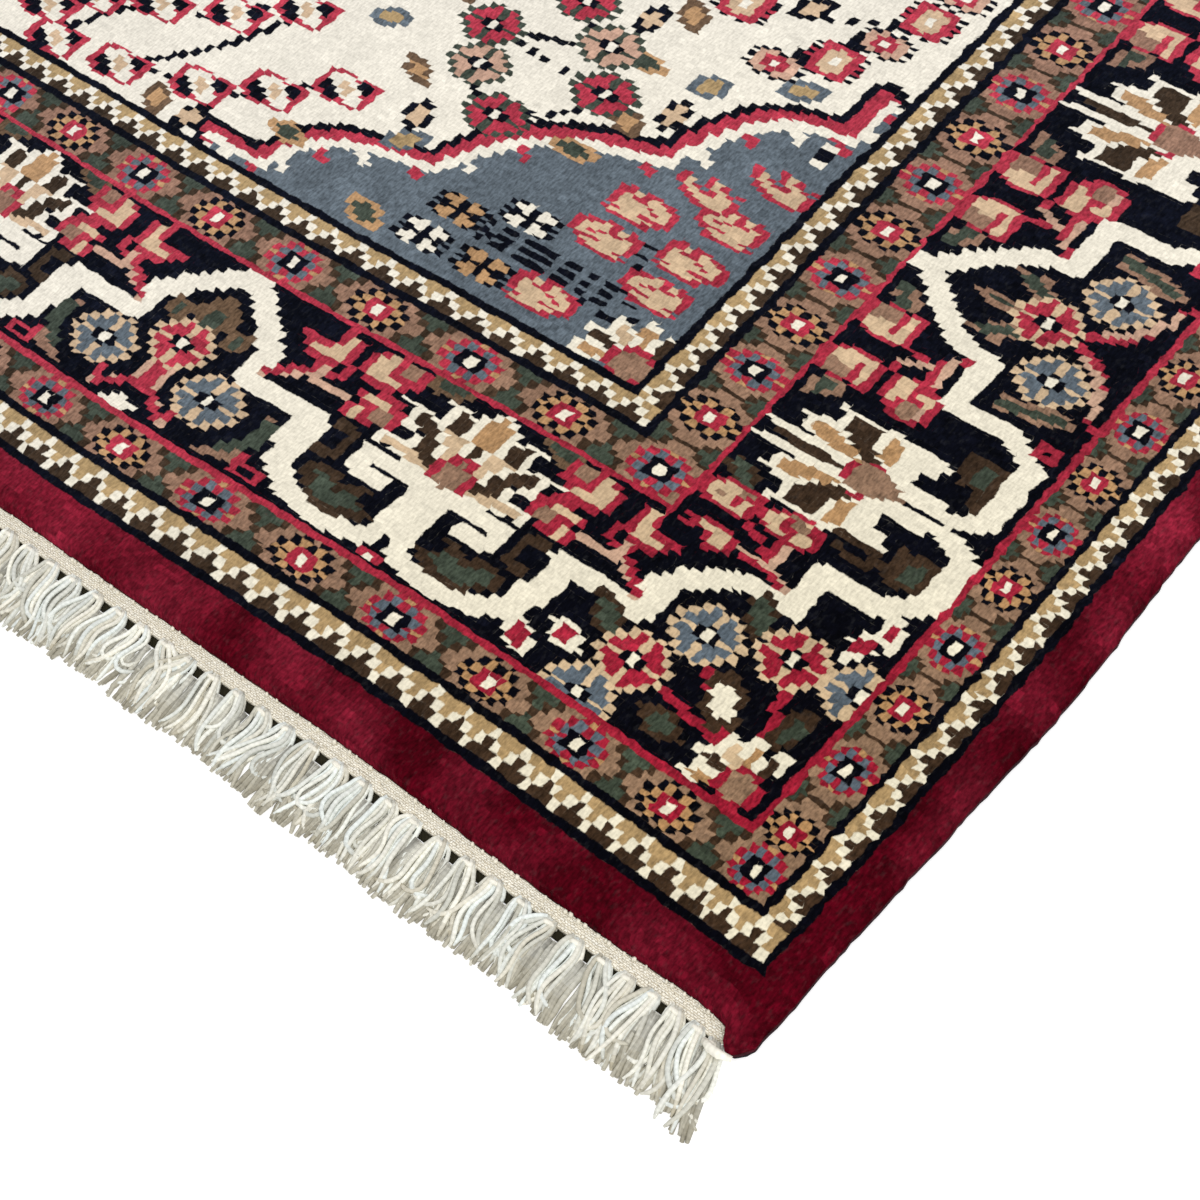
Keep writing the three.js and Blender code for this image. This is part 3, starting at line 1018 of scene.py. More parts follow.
def pile_quarter(name, surface, letters, tones, outer_sides, material):
    """One closed quarter of the rug: the knots on top, the rounded edge where the quarter has one, plain
    walls where the quarters meet, and the back. tones has one knot more on every side than letters."""
    rows, columns = letters.shape
    faces, row, column, used = knot_faces(letters)
    beside, beyond, face_rows = next_tones(faces, row, column, columns, tones)
    tones = tones[1:-1, 1:-1]
    points = surface.reshape(-1, 3)

    # The rim of the grid, once round, with the way outward at each of its points
    ids = np.arange((rows + 1) * (columns + 1)).reshape(rows + 1, columns + 1)
    rim = np.concatenate([ids[0, :-1], ids[:-1, -1], ids[-1, :0:-1], ids[:0:-1, 0]])
    rim = rim[used.ravel()[rim]]
    rim_row, rim_column = np.divmod(rim, columns + 1)
    outward = np.zeros((len(rim), 2))
    for axis, sign, last in outer_sides:
        outward[(rim_row if axis else rim_column) == last, axis] += sign
    outward /= np.maximum(np.hypot(outward[:, 0], outward[:, 1]), 1)[:, None]

    # The edge below the pile's widest line
    rings = [rim]
    made = [points]
    count = len(points)
    for height, inset in EDGE_BELOW:
        ring = points[rim].copy()
        ring[:, :2] -= outward * inset
        ring[:, 2] = height
        made.append(ring)
        rings.append(count + np.arange(len(rim)))
        count += len(rim)
    walls = np.concatenate([
        np.stack([high, low, np.roll(low, -1), np.roll(high, -1)], axis=1)
        for high, low in zip(rings[:-1], rings[1:])
    ])

    # The back, in blocks; those at the rim take in the rim's points
    back_rows = block_lines(rows, BACK_ROWS)
    back_columns = block_lines(columns, BACK_COLUMNS)
    floor_ids = {int(high): int(low) for high, low in zip(rim, rings[-1])}
    inner = ids[back_rows[1:-1]][:, back_columns[1:-1]].ravel()
    floor_ids.update({int(high): count + index for index, high in enumerate(inner)})
    made.append(points[inner] * (1, 1, 0))

    def floor_walk(edge, on_rim):
        wanted = edge if on_rim else edge[:1]
        return [floor_ids[int(place)] for place in wanted if int(place) in floor_ids]

    backs = []
    for low_row, high_row in zip(back_rows[:-1], back_rows[1:]):
        for low_column, high_column in zip(back_columns[:-1], back_columns[1:]):
            backs.append(
                floor_walk(ids[low_row:high_row, low_column], low_column == 0)
                + floor_walk(ids[high_row, low_column:high_column], high_row == rows)
                + floor_walk(ids[high_row:low_row:-1, high_column], high_column == columns)
                + floor_walk(ids[low_row, high_column:low_column:-1], low_row == 0)
            )
    most = max(map(len, backs))
    backs = np.array([walk + [-1] * (most - len(walk)) for walk in backs])
    all_faces = np.concatenate([pad(faces, most), pad(walls, most), backs])
    all_points = np.concatenate(made)

    # Each knot is one unit of the map and each face starts it anew, so the threads of a knot can be
    # drawn in it
    grid = np.stack(
        np.divmod(np.concatenate([ids.ravel(), *[rim] * len(EDGE_BELOW), inner]), columns + 1), axis=1
    )
    map_places = grid[:, ::-1].astype(float)
    for index in range(len(EDGE_BELOW)):
        start = len(points) + index * len(rim)
        map_places[start:start + len(rim)] += (index + 1) * EDGE_MAP_STEP * outward

    # Colours, one to a face
    # Painted shadow: the walls below the pile's widest line go toward near-black, the upper ring in part and
    # the lower rings wholly
    wall_tones = tones[np.clip(rim_row, 0, rows - 1), np.clip(rim_column, 0, columns - 1)]
    wall_tones = np.concatenate([
        wall_tones * (1 - dark) + to_linear(EDGE_SHADOW_COLOUR) * dark for dark in EDGE_SHADOW_SHARE
    ])
    back_tones = np.tile(to_linear(BACK_COLOUR), (len(backs), 1))
    face_tones = np.concatenate([tones[row, column], wall_tones, back_tones])
    colours = {"tone": face_tones}
    for layer, knots in {"beside": beside, "beyond": beyond}.items():
        corners = np.repeat(face_tones[:, None], most, axis=1)
        corners[:len(faces), :faces.shape[1]] = knots
        colours[layer] = corners

    # Points that no face uses go
    there = np.unique(all_faces[all_faces >= 0])
    renumber = np.full(len(all_points), -1)
    renumber[there] = np.arange(len(there))
    maps = map_places[np.maximum(all_faces, 0)]
    maps[:len(faces)] -= np.stack([column, row], axis=1)[:, None]
    all_faces = np.where(all_faces >= 0, renumber[np.maximum(all_faces, 0)], -1)
    piece = add_mesh(name, all_points[there], all_faces, material, colours, maps)
    knots_high = piece.data.attributes.new("knots_high", "FLOAT", "FACE")
    values = np.ones(len(all_faces), np.float32)
    values[:len(faces)] = face_rows.ravel()
    knots_high.data.foreach_set("value", values)
    return piece


def make_pile(material):
    draw = np.random.default_rng(7)
    letters = whole_pattern()
    surface = pile_surface(draw)
    tones = np.pad(knot_tones(letters, surface, draw), ((1, 1), (1, 1), (0, 0)), mode="edge")
    pieces = []
    for end, (row0, row1) in {"near": (0, HALF_ROWS), "far": (HALF_ROWS, ROWS)}.items():
        spans = {"right": (0, HALF_COLUMNS), "left": (HALF_COLUMNS, COLUMNS)}
        for side, (column0, column1) in spans.items():
            block = np.s_[row0:row1, column0:column1]
            grid = surface[row0:row1 + 1, column0:column1 + 1]
            sides = [
                (0, 1, 0) if side == "right" else (0, -1, column1 - column0),
                (1, -1, 0) if end == "near" else (1, 1, row1 - row0),
            ]
            name = f"pile_{end}_{side}"
            around = tones[row0:row1 + 2, column0:column1 + 2]
            pieces.append(pile_quarter(name, grid, letters[block], around, sides, material))
    return pieces


# Materials


def new_material(name):
    material = bpy.data.materials.new(name)
    material.use_nodes = True
    tree = material.node_tree
    return material, tree.nodes, tree.links, tree.nodes["Principled BSDF"]


def noise_node(nodes, links, scale, detail=2):
    """Noise in the rug's own coordinates; scale is in knots of noise to a metre along X, Y and Z."""
    coordinates = nodes.new("ShaderNodeTexCoord")
    stretch = nodes.new("ShaderNodeMapping")
    stretch.inputs["Scale"].default_value = scale
    noise = nodes.new("ShaderNodeTexNoise")
    noise.inputs["Scale"].default_value = 1
    noise.inputs["Detail"].default_value = detail
    links.new(coordinates.outputs["Object"], stretch.inputs["Vector"])
    links.new(stretch.outputs["Vector"], noise.inputs["Vector"])
    return noise


def range_node(nodes, links, source, low, high, to_low, to_high):
    span = nodes.new("ShaderNodeMapRange")
    for name, value in {"From Min": low, "From Max": high, "To Min": to_low, "To Max": to_high}.items():
        span.inputs[name].default_value = value
    links.new(source, span.inputs["Value"])
    return span.outputs["Result"]


def math_node(nodes, links, operation, first, second):
    node = nodes.new("ShaderNodeMath")
    node.operation = operation
    for socket, value in zip(node.inputs, (first, second)):
        if isinstance(value, (int, float)):
            socket.default_value = value
        else:
            links.new(value, socket)
    return node.outputs["Value"]


def scaled(nodes, links, colour, factor):
    node = nodes.new("ShaderNodeVectorMath")
    node.operation = "SCALE"
    links.new(colour, node.inputs["Vector"])
    links.new(factor, node.inputs["Scale"])
    return node.outputs["Vector"]


def added(nodes, links, colour, light):
    node = nodes.new("ShaderNodeVectorMath")
    node.operation = "ADD"
    links.new(colour, node.inputs[0])
    links.new(light, node.inputs[1])
    return node.outputs["Vector"]


def tone_node(nodes, layer="tone"):
    tone = nodes.new("ShaderNodeVertexColor")
    tone.layer_name = layer
    return tone.outputs["Color"]


def mixed(nodes, links, factor, first, second):
    node = nodes.new("ShaderNodeMix")
    node.data_type = "RGBA"
    links.new(factor, node.inputs["Factor"])
    links.new(first, node.inputs[6])
    links.new(second, node.inputs[7])
    return node.outputs[2]


def past_edge(nodes, links, place, size, softness):
    """From 0 within a knot to 1 past its edge, for a place across it that runs from 0 to its size."""
    half = math_node(nodes, links, "MULTIPLY", size, 0.5)
    from_middle = math_node(nodes, links, "ABSOLUTE", math_node(nodes, links, "SUBTRACT", place, half), 0.0)
    past = math_node(nodes, links, "SUBTRACT", from_middle, half)
    return range_node(nodes, links, past, -softness, softness, 0, 1)


def thread_map(nodes):
    place = nodes.new("ShaderNodeUVMap")
    place.uv_map = "threads"
    return place.outputs["UV"]


def wandering_map(nodes, links, reach, scale, detail=1):
    """The map of the threads, strayed to both sides by noise."""
    centre = nodes.new("ShaderNodeVectorMath")
    centre.operation = "SUBTRACT"
    centre.inputs[1].default_value = (0.5, 0.5, 0.5)
    wander = nodes.new("ShaderNodeVectorMath")
    wander.operation = "MULTIPLY_ADD"
    wander.inputs[1].default_value = reach
    links.new(noise_node(nodes, links, (scale, scale, scale), detail).outputs["Color"], centre.inputs[0])
    links.new(centre.outputs["Vector"], wander.inputs[0])
    links.new(thread_map(nodes), wander.inputs[2])
    return wander.outputs["Vector"]


def bump(nodes, links, shader, height, depth, strength):
    node = nodes.new("ShaderNodeBump")
    node.inputs["Distance"].default_value = depth * MM
    node.inputs["Strength"].default_value = strength
    links.new(height, node.inputs["Height"])
    links.new(node.outputs["Normal"], shader.inputs["Normal"])


def silk_material():
    material, nodes, links, shader = new_material("silk")

    # Cut threads, longer along the way the pile leans, and where some of them get a painted glint
    threads = noise_node(nodes, links, (1500, 650, 1000), 3).outputs["Fac"]
    glints = noise_node(nodes, links, (900, 500, 700), 3).outputs["Fac"]

    # A knot's threads stray over its edges, into the knots beside and beyond it
    stray = nodes.new("ShaderNodeSeparateXYZ")
    links.new(wandering_map(nodes, links, STRAY_REACH, STRAY_SCALE, 3), stray.inputs["Vector"])
    high = nodes.new("ShaderNodeAttribute")
    high.attribute_name = "knots_high"
    to_side = past_edge(nodes, links, stray.outputs["X"], 1.0, SOFT_SIDE)
    to_end = past_edge(nodes, links, stray.outputs["Y"], high.outputs["Fac"], SOFT_END)
    colour = mixed(nodes, links, to_side, tone_node(nodes), tone_node(nodes, "beside"))
    colour = mixed(nodes, links, to_end, colour, tone_node(nodes, "beyond"))

    # Each knot is a small tuft, with painted shade where it meets the next one
    place = nodes.new("ShaderNodeSeparateXYZ")
    links.new(wandering_map(nodes, links, (0.35, 0.5, 0), 1100), place.inputs["Vector"])
    across = math_node(nodes, links, "PINGPONG", place.outputs["X"], 0.5)
    along = math_node(nodes, links, "PINGPONG", place.outputs["Y"], 0.5)
    middle = math_node(nodes, links, "MINIMUM", math_node(nodes, links, "MULTIPLY", across, 2.2), along)
    tuft = range_node(nodes, links, middle, 0, 0.3, 0, 1)

    brightness = nodes.new("ShaderNodeRGBToBW")
    links.new(colour, brightness.inputs["Color"])
    contrast = range_node(nodes, links, brightness.outputs["Val"], 0.02, 0.5, DARK_GRAIN, LIGHT_GRAIN)
    grain = math_node(nodes, links, "MULTIPLY", math_node(nodes, links, "SUBTRACT", threads, 0.5), contrast)
    # The shade: grain of the threads, times the tufts' painted shade at their edges
    shade = math_node(
        nodes, links, "MULTIPLY",
        math_node(nodes, links, "MAXIMUM", math_node(nodes, links, "ADD", grain, 1.0), 0.15),
        range_node(nodes, links, tuft, 0, 1, 0.95, 1.01),
    )
    # Painted highlight: a little light added to the colour where the glint noise is high
    glint = range_node(nodes, links, glints, 0.55, 0.78, 0, 0.01)
    links.new(added(nodes, links, scaled(nodes, links, colour, shade), glint), shader.inputs["Base Color"])
    relief = math_node(nodes, links, "ADD", math_node(nodes, links, "MULTIPLY", tuft, 0.3), threads)
    bump(nodes, links, shader, relief, 0.3, 0.45)
    shader.inputs["Roughness"].default_value = 0.7
    shader.inputs["Specular IOR Level"].default_value = 0.02
    return material


def yarn_material():
    """Cotton strands: two plies twisted round each other, over each strand's own tone."""
    material, nodes, links, shader = new_material("yarn")
    plies = nodes.new("ShaderNodeTexWave")
    plies.bands_direction = "DIAGONAL"
    plies.inputs["Scale"].default_value = math.pi / 5
    links.new(thread_map(nodes), plies.inputs["Vector"])
    fluff = noise_node(nodes, links, (900, 900, 900), 3).outputs["Fac"]
    twist = plies.outputs["Fac"]
    shade = math_node(
        nodes, links, "MULTIPLY",
        range_node(nodes, links, twist, 0, 1, 0.94, 1.01),
        range_node(nodes, links, fluff, 0.3, 0.7, 0.86, 1.08),
    )
    links.new(scaled(nodes, links, tone_node(nodes), shade), shader.inputs["Base Color"])
    bump(nodes, links, shader, math_node(nodes, links, "ADD", twist, fluff), 0.1, 0.5)
    shader.inputs["Roughness"].default_value = 0.9
    shader.inputs["Specular IOR Level"].default_value = 0.15
    return material


def weave_material():
    """The flat-woven strip: rows of weft that go over one warp and under the next."""
    material, nodes, links, shader = new_material("weave")
    weft = nodes.new("ShaderNodeTexBrick")
    weft.offset = 0.5
    weft.inputs["Color1"].default_value = (*to_linear((255, 251, 238)), 1)
    weft.inputs["Color2"].default_value = (*to_linear((247, 240, 222)), 1)
    weft.inputs["Mortar"].default_value = (*to_linear((222, 211, 186)), 1)
    weft.inputs["Scale"].default_value = 1
    weft.inputs["Mortar Size"].default_value = 0.12
    weft.inputs["Mortar Smooth"].default_value = 0.7
    weft.inputs["Brick Width"].default_value = 0.9
    weft.inputs["Row Height"].default_value = 0.52
    links.new(wandering_map(nodes, links, (1.1, 0.9, 0), 800, 2), weft.inputs["Vector"])
    fluff = noise_node(nodes, links, (1300, 1300, 1300), 3).outputs["Fac"]
    shade = range_node(nodes, links, fluff, 0.3, 0.7, 0.9, 1.12)
    links.new(scaled(nodes, links, weft.outputs["Color"], shade), shader.inputs["Base Color"])
    height = math_node(nodes, links, "SUBTRACT", fluff, weft.outputs["Fac"])
    bump(nodes, links, shader, height, 0.2, 0.8)
    shader.inputs["Roughness"].default_value = 0.9
    shader.inputs["Specular IOR Level"].default_value = 0.15
    return material


# End strips and fringes


def end_place(x, outward):
    """Where a point of the near end's strip or fringe lies in y."""
    return -RUG_LENGTH / 2 - along_end(x, STRIP_BEND + END_WAVE) - outward


def turned(points):
    """The same points at the far end: half a turn about Z."""
    return points * np.array([-1.0, -1.0, 1.0])


def tubes(paths, radius, sides):
    """Closed tubes round paths of shape (strands, steps, 3), with their faces and map places. The map's
    first number goes once round the strand and its second one counts turns of its twist."""
    strands, steps = paths.shape[:2]
    way = np.gradient(paths, axis=1)
    way /= np.linalg.norm(way, axis=2, keepdims=True)
    across = np.cross(way, [0.0, 0.0, 1.0])
    across /= np.maximum(np.linalg.norm(across, axis=2, keepdims=True), 1e-6)
    up = np.cross(across, way)
    turn = (np.arange(sides) / sides * 2 * np.pi)[:, None]
    ring = np.cos(turn) * across[:, :, None] + np.sin(turn) * up[:, :, None]
    rings = paths[:, :, None] + radius[:, :, None, None] * ring
    points = np.concatenate([rings.reshape(strands, -1, 3), paths[:, :1], paths[:, -1:]], axis=1)

    steps_and_sides = np.meshgrid(np.arange(steps - 1), np.arange(sides), indexing="ij")
    step, side = (part.ravel() for part in steps_and_sides)
    here = step * sides + side
    beside = step * sides + (side + 1) % sides
    body = np.stack([here, beside, beside + sides, here + sides], axis=1)
    ring_ids = np.arange(sides)
    next_ids = (ring_ids + 1) % sides
    last = (steps - 1) * sides
    none = np.full(sides, -1)
    start = np.stack([np.full(sides, steps * sides), next_ids, ring_ids, none], axis=1)
    finish = np.stack([np.full(sides, steps * sides + 1), last + ring_ids, last + next_ids, none], axis=1)
    one = np.concatenate([body, start, finish])

    length = np.linalg.norm(np.diff(paths, axis=1), axis=2)
    turns = np.concatenate([np.zeros((strands, 1)), np.cumsum(length, axis=1)], axis=1) / TWIST_LENGTH
    round_share = np.stack([side, side + 1, side + 1, side], axis=1) / sides
    along = np.stack([step, step, step + 1, step + 1], axis=1)
    body_map = np.stack(np.broadcast_arrays(round_share, turns[:, along]), axis=-1)
    cap_map = np.zeros((strands, 2 * sides, 4, 2))
    cap_map[:, :, 1] = (0.1, 0)
    cap_map[:, :, 2] = (0, 0.1)
    cap_map[:, sides:, :, 1] += turns[:, -1:, None]
    maps = np.concatenate([body_map, cap_map], axis=1).reshape(-1, 4, 2)
    offset = (np.arange(strands) * (steps * sides + 2))[:, None, None]
    faces = np.where(one >= 0, one + offset, -1).reshape(-1, 4)
    return points.reshape(-1, 3), faces, maps


class Bundle:
    """Tubes gathered for one piece."""

    def __init__(self):
        self.points, self.faces, self.maps, self.tones = [], [], [], []
        self.count = 0

    def add(self, paths, radius, sides, tones):
        """Adds strands; radius is (strands, steps), and tones go by strand and step or by strand."""
        points, faces, maps = tubes(paths, radius, sides)
        strands, steps = paths.shape[:2]
        if tones.ndim == 2:
            tones = np.repeat(tones[:, None], steps - 1, axis=1)
        body = np.repeat(tones, sides, axis=1)
        start = np.repeat(tones[:, :1], sides, axis=1)
        finish = np.repeat(tones[:, -1:], sides, axis=1)
        self.points.append(points)
        self.faces.append(np.where(faces >= 0, faces + self.count, -1))
        self.maps.append(maps)
        self.tones.append(np.concatenate([body, start, finish], axis=1).reshape(-1, 3))
        self.count += len(points)

    def mesh(self, name, far, material):
        points = np.concatenate(self.points)
        piece = add_mesh(
            name, turned(points) if far else points, np.concatenate(self.faces), material,
            {"tone": np.concatenate(self.tones)}, np.concatenate(self.maps),
        )
        piece.data.shade_smooth()
        return piece


def head_places():
    """The middle of each tassel's head across the end, and half of the width that its strands fill.
    Those at the corners are closer together."""
    pitch = CORNER_PITCH + (FULL_PITCH - CORNER_PITCH) * smooth(np.arange(HALF_TASSELS - 1), 0, 8)
    gaps = np.append(0, np.cumsum(pitch))
    gaps = FIRST_GAP + gaps * (RUG_WIDTH / 2 - FIRST_GAP) / gaps[-1]
    lines = np.append(FRINGE_START, gaps)
    heads = (lines[1:] + lines[:-1]) / 2
    halves = np.diff(lines) / 2
    return RUG_WIDTH / 2 - np.append(heads, RUG_WIDTH - heads[::-1]), np.append(halves, halves[::-1])


def strand_paths(draw, heads, halves, strands, steps, start, head_half, layer, free):
    """Strands from each head to their tips. A strand fans out from its head, sways with its tassel, waves on
    its own and curls at its tip; each of these turns the way it is going."""
    share = np.linspace(0, 1, steps)
    count = len(heads) * strands

    def own(low, high):
        return draw.uniform(low, high, (count, 1))

    def shared(low, high):
        return np.repeat(draw.uniform(low, high, (len(heads), 1)), strands, axis=0)

    root = np.repeat(heads, strands)[:, None]
    at_head = np.repeat(head_half, strands)[:, None]
    spot = np.tile(np.linspace(-1, 1, strands), len(heads))[:, None] + own(-0.15, 0.15)
    corner = np.exp(-(RUG_WIDTH / 2 - np.abs(root)) / CORNER_REACH)
    length = TASSEL_LENGTH + CORNER_LENGTH * corner + shared(-0.4, 0.4) + own(-1.1, 0.5)
    length = length + LENGTH_WAVE * np.sin(root / 9 + 1) * np.sin(root / 23)
    lean = CORNER_LEAN * np.exp(-(((RUG_WIDTH / 2 - np.abs(root)) / LEAN_REACH) ** 2))
    fan = (FAN_SPREAD * np.repeat(halves, strands)[:, None] - at_head) / (FAN_SHARE * TASSEL_LENGTH)
    heading = (
        np.sign(root) * (0.06 + lean)
        + spot * fan * np.exp(-share / FAN_SHARE)
        + shared(-1, 1) ** 3 * 0.45 * free
        + shared(-0.5, 0.5) * free * np.sin(np.pi * (share * shared(1, 2.2) + shared(0, 1)))
        + own(-0.3, 0.3) * np.sin(2 * np.pi * (share * own(0.7, 1.6) + own(0, 1))) * smooth(share, 0, 0.3)
        + own(-1, 1) ** 3 * 2.4 * free * smooth(share, 0.55, 1)
    )
    step = (length - start) / (steps - 1)
    sideways = np.cumsum(np.sin(heading), axis=1) * step
    onward = np.cumsum(np.cos(heading), axis=1) * step
    x = root + spot * at_head + sideways - sideways[:, :1]
    outward = STRIP_WIDTH + start + onward - onward[:, :1]
    lift = np.tile(np.arange(strands) * 2 % 3, len(heads))[:, None] * layer
    z = STRAND_RADIUS + lift * (0.35 + 0.65 * np.sin(np.pi * np.clip(share * 1.1, 0, 1)))
    z = z + HEAD_RISE * np.exp(-((share / 0.14) ** 2)) * (layer > 0) + own(0, 0.25)
    return np.stack([x, end_place(root, outward), z], axis=-1)


def make_fringe(name, far, material):
    draw = np.random.default_rng(11 if far else 5)
    heads, halves = head_places()
    bundle = Bundle()

    # Strands that lie below, given painted shade: a shaded copy of the cotton, darkened further at random,
    # and olive toward their tips
    paths = strand_paths(draw, heads, halves, LOW_STRANDS, LOW_STEPS, LOW_START, halves, 0, LOW_SWAY)
    taper = np.interp(np.linspace(0, 1, LOW_STEPS), *zip(*LOW_TAPER))
    radius = LOW_RADIUS * taper * np.ones((len(paths), 1))
    shades = (to_linear(COTTON_LOW_SHADED) * draw.uniform(0.45, 1, (len(paths), 1)))[:, None]
    olive_share = LOW_TIP_OLIVE * smooth(np.arange(LOW_STEPS - 1), 0, LOW_STEPS - 2)[None, :, None]
    bundle.add(paths, radius, 4, shades * (1 - olive_share) + to_linear(COTTON_OLIVE) * olive_share)

    # Strands on top, some of them darker and olive, most of all toward their tips
    narrow = np.full(len(heads), HEAD_HALF)
    paths = strand_paths(draw, heads, halves, STRANDS, STRAND_STEPS, -0.6, narrow, LAYER, 1)
    taper = np.interp(np.linspace(0, 1, STRAND_STEPS), [0, 0.1, 0.9, 1], [0.8, 1, 1, 0.45])
    radius = STRAND_RADIUS * taper * draw.uniform(0.88, 1.12, (len(paths), 1))
    cool = draw.uniform(0, 1, (len(paths), 1))
    shades = to_linear(COTTON_WARM) * (1 - cool) + to_linear(COTTON_COOL) * cool
    shades = shades * draw.uniform(0.86, 1.05, (len(paths), 1))
    toward_tip = smooth(np.arange(STRAND_STEPS - 1), STRAND_STEPS - 6, STRAND_STEPS)
    olive_share = draw.uniform(0, 1, (len(paths), 1)) ** 2 * toward_tip
    olive_share = np.maximum(olive_share, draw.uniform(0, 1, (len(paths), 1)) ** 3 * 0.5)
    shades = shades[:, None] * (1 - olive_share[..., None]) + to_linear(COTTON_OLIVE) * olive_share[..., None]
    bundle.add(paths, radius, STRAND_SIDES, shades)

    # A turn of cotton round each head
    turn = np.linspace(-1, 1, WRAP_STEPS)
    x = heads[:, None] + turn * (HEAD_HALF + 0.35) + draw.uniform(-0.2, 0.2, (len(heads), 1))
    outward = STRIP_WIDTH + WRAP_PLACE + 0.35 * turn * draw.uniform(-1, 1, (len(heads), 1))
    z = 0.6 + WRAP_RISE * np.sqrt(np.clip(1 - turn ** 2, 0, 1)) + 0 * x
    paths = np.stack([x, end_place(heads[:, None], outward), z], axis=-1)
    radius = np.full(paths.shape[:2], STRAND_RADIUS)
    bundle.add(paths, radius, STRAND_SIDES, np.tile(to_linear(COTTON_WARM), (len(heads), 1)))

    # The end of the selvage cord at each corner
    for side in (1, -1):
        x = side * (RUG_WIDTH / 2 - np.array([13, 10.8, 8.6, 6.2]))
        y = -RUG_LENGTH / 2 - np.array([4.6, 5.5, 5.5, 4.6])
        path = np.stack([x, y, np.array([2.6, 3.5, 3.6, 3])], axis=-1)[None]
        bundle.add(path, np.array([[0.7, 1, 1, 0.6]]), 8, to_linear(COTTON_WARM)[None])
    return bundle.mesh(name, far, material)


def make_strip(name, far, material):
    """The flat-woven strip, its inner edge up under the pile."""
    half = RUG_WIDTH / 2 - STRIP_START
    x = np.linspace(-half, half, STRIP_STEPS)[:, None]
    across = np.linspace(0, 1, STRIP_RIBS * 2 + 1)
    ribs = np.abs(np.sin(across * STRIP_RIBS * np.pi))
    top = STRIP_THICKNESS * (0.9 + 0.1 * ribs) + STRIP_RISE * (1 - across) ** 3
    outward = np.concatenate([[0], across, [1]])[None] * (STRIP_WIDTH + STRIP_TUCK)
    narrow = along_end(x, STRIP_TAPER)
    y = end_place(x, outward * narrow - STRIP_TUCK)
    z = np.concatenate([[0], top, [0]])[None] + 0 * x
    grid = np.stack([x + 0 * y, y, z], axis=-1)
    count = grid.shape[1]
    steps_and_places = np.meshgrid(np.arange(len(x) - 1), np.arange(count), indexing="ij")
    step, place = (part.ravel() for part in steps_and_places)
    here = step * count + place
    beside = step * count + (place + 1) % count
    sides = np.stack([here, here + count, beside + count, beside], axis=1)
    caps = np.stack([np.arange(count), (len(x) - 1) * count + np.arange(count)[::-1]])
    faces = np.concatenate([pad(sides, count), caps])
    points = grid.reshape(-1, 3)
    flat = np.stack([points[:, 0], -points[:, 1] - points[:, 2]], axis=-1)
    placed = turned(points) if far else points
    piece = add_mesh(name, placed, faces, material, maps=flat[np.maximum(faces, 0)])
    return piece


def make_warp_ends(name, far, material):
    """Cotton that shows between the last knots."""
    draw = np.random.default_rng(23 if far else 17)
    bundle = Bundle()
    x = -knot_lines(COLUMNS, COLUMN_PLACES, RUG_WIDTH)
    x = x[np.abs(x) < RUG_WIDTH / 2 - STRIP_START - 1]
    x = (x + draw.uniform(-1, 1, len(x)))[draw.uniform(0, 1, len(x)) < 0.6, None]
    inward = np.array([-0.5, -0.3, -0.1]) + draw.uniform(-0.1, 0.15, x.shape)
    z = EDGE_TOP + np.array([-0.9, -0.4, -0.1]) + draw.uniform(-0.3, 0.4, x.shape)
    paths = np.stack([x + 0 * inward, end_place(x, -inward), z], axis=-1)
    radius = np.array([0.5, 0.5, 0.35]) * draw.uniform(0.5, 1.2, x.shape)
    bundle.add(paths, radius, 4, np.tile(to_linear(STRIP_COLOUR), (len(x), 1)))
    return bundle.mesh(name, far, material)


# A flat dark sheet under the tassels' heads: painted shade for the gaps between the heads
def make_shade_sheet(name, far, material):
    x = np.linspace(-1, 1, SHADE_SHEET_STEPS)[:, None] * (RUG_WIDTH / 2 - SHADE_SHEET_START)
    outward = np.array([0.0, 0.0, 1.0, 1.0])[None] * (STRIP_WIDTH + SHADE_SHEET_SHOWN - 1) + 1
    z = np.array([0.02, SHADE_SHEET_THICKNESS, SHADE_SHEET_THICKNESS, 0.02])[None] + 0 * x
    grid = np.stack([x + 0 * z, end_place(x, outward), z], axis=-1)
    step, place = (part.ravel() for part in np.meshgrid(np.arange(len(x) - 1), np.arange(4), indexing="ij"))
    here = step * 4 + place
    beside = step * 4 + (place + 1) % 4
    sides = np.stack([here, here + 4, beside + 4, beside], axis=1)
    caps = np.stack([np.arange(4), (len(x) - 1) * 4 + np.arange(4)[::-1]])
    faces = np.concatenate([sides, caps])
    points = grid.reshape(-1, 3)
    tones = np.tile(to_linear(SHADE_SHEET_COLOUR), (len(faces), 1))
    maps = np.stack([points[:, 0], points[:, 1]], axis=-1)[faces]
    return add_mesh(name, turned(points) if far else points, faces, material, {"tone": tones}, maps)


# Stage


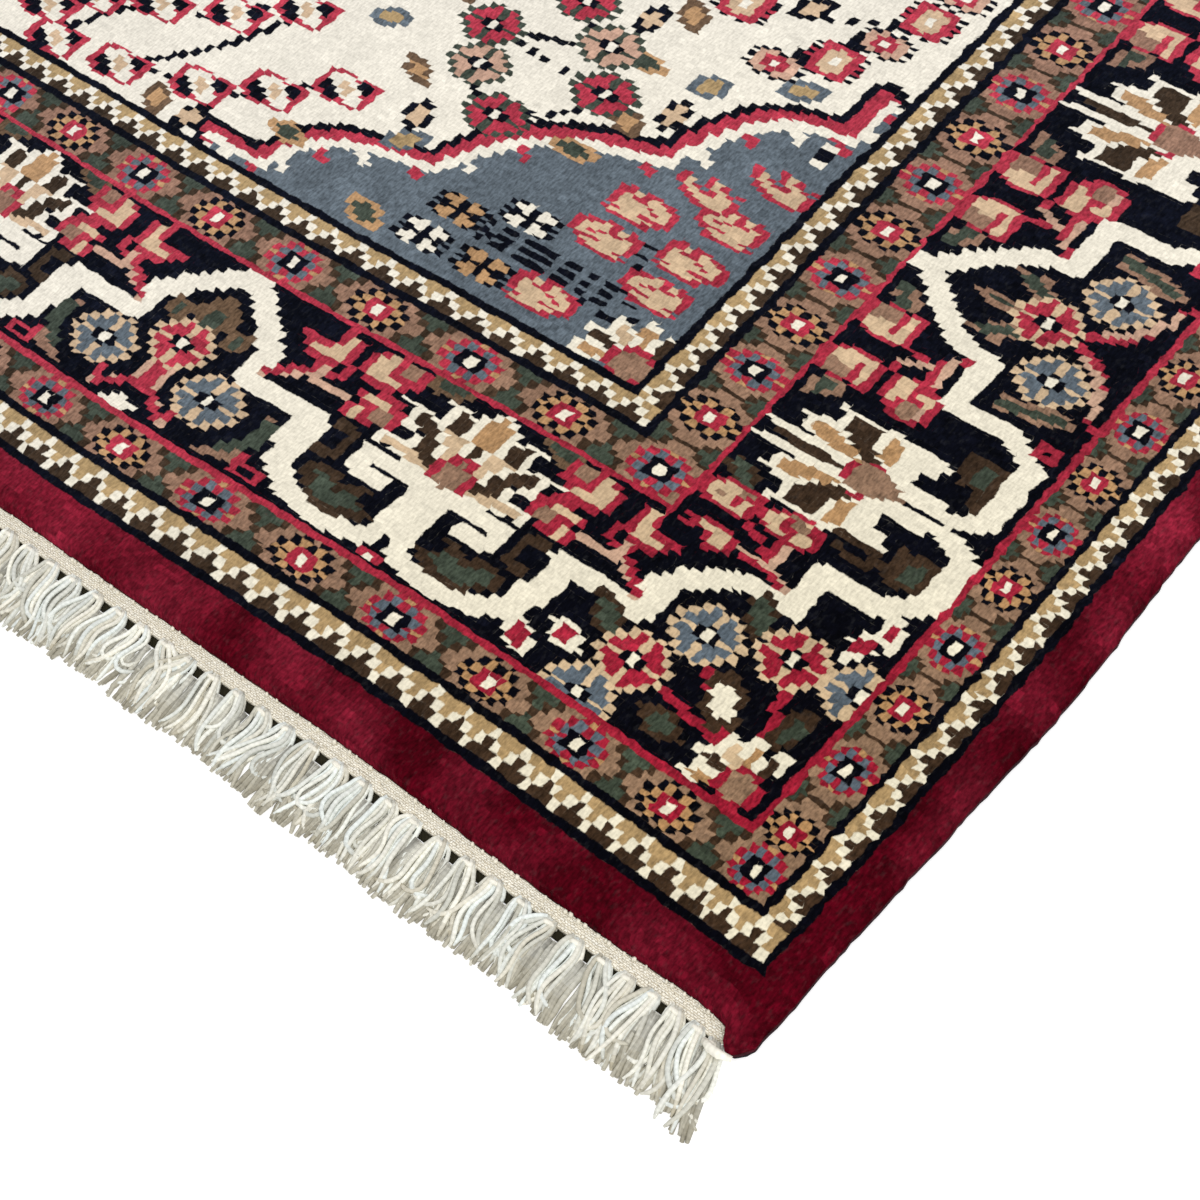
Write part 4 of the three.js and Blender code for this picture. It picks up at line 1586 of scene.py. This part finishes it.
def make_floor():
    material, nodes, links, shader = new_material("floor")
    shader.inputs["Base Color"].default_value = (0.7, 0.7, 0.7, 1)
    shader.inputs["Roughness"].default_value = 0.9
    shader.inputs["Emission Color"].default_value = (1, 1, 1, 1)
    shader.inputs["Emission Strength"].default_value = 0.5
    half = 6000
    corners = np.array([[-half, -half, 0], [half, -half, 0], [half, half, 0], [-half, half, 0]], float)
    floor = add_mesh("floor", corners, np.array([[0, 1, 2, 3]]), material)


def make_light():
    world = bpy.data.worlds.new("studio")
    bpy.context.scene.world = world
    world.use_nodes = True
    background = world.node_tree.nodes["Background"]
    background.inputs["Color"].default_value = (1, 1, 1, 1)
    background.inputs["Strength"].default_value = WORLD_STRENGTH
    lamp = bpy.data.lights.new("window", "AREA")
    lamp.shape = "RECTANGLE"
    lamp.size = 1.6
    lamp.size_y = 1.2
    lamp.energy = LAMP_POWER
    light = bpy.data.objects.new("window", lamp)
    light.location = (1.1, -0.9, 1.5)
    light.rotation_mode = "QUATERNION"
    light.rotation_quaternion = (light.location - Vector((0.2, -0.3, 0))).to_track_quat("Z", "Y")
    bpy.context.scene.collection.objects.link(light)


def make_camera():
    data = bpy.data.cameras.new("camera")
    data.lens = CAMERA_LENS
    data.sensor_width = 36
    data.clip_start = 0.01
    camera = bpy.data.objects.new("camera", data)
    camera.location = CAMERA_PLACE
    camera.rotation_euler = Euler([math.radians(angle) for angle in CAMERA_TURN], "XYZ")
    bpy.context.scene.collection.objects.link(camera)
    bpy.context.scene.camera = camera


def main():
    bpy.context.scene.view_settings.view_transform = "Standard"
    make_camera()
    silk = silk_material()
    yarn = yarn_material()
    weave = weave_material()
    for piece in make_pile(silk):
        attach(piece, "root")
        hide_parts("rug_body")
    for end, far in {"near": False, "far": True}.items():
        for piece in (
            make_strip(f"strip_{end}", far, weave),
            make_fringe(f"fringe_strands_{end}", far, yarn),
            make_warp_ends(f"warp_ends_{end}", far, yarn),
            make_shade_sheet(f"shade_sheet_{end}", far, yarn),
        ):
            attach(piece, "root")
            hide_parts(f"fringe_{end}")
    make_floor()
    make_light()
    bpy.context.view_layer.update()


main()
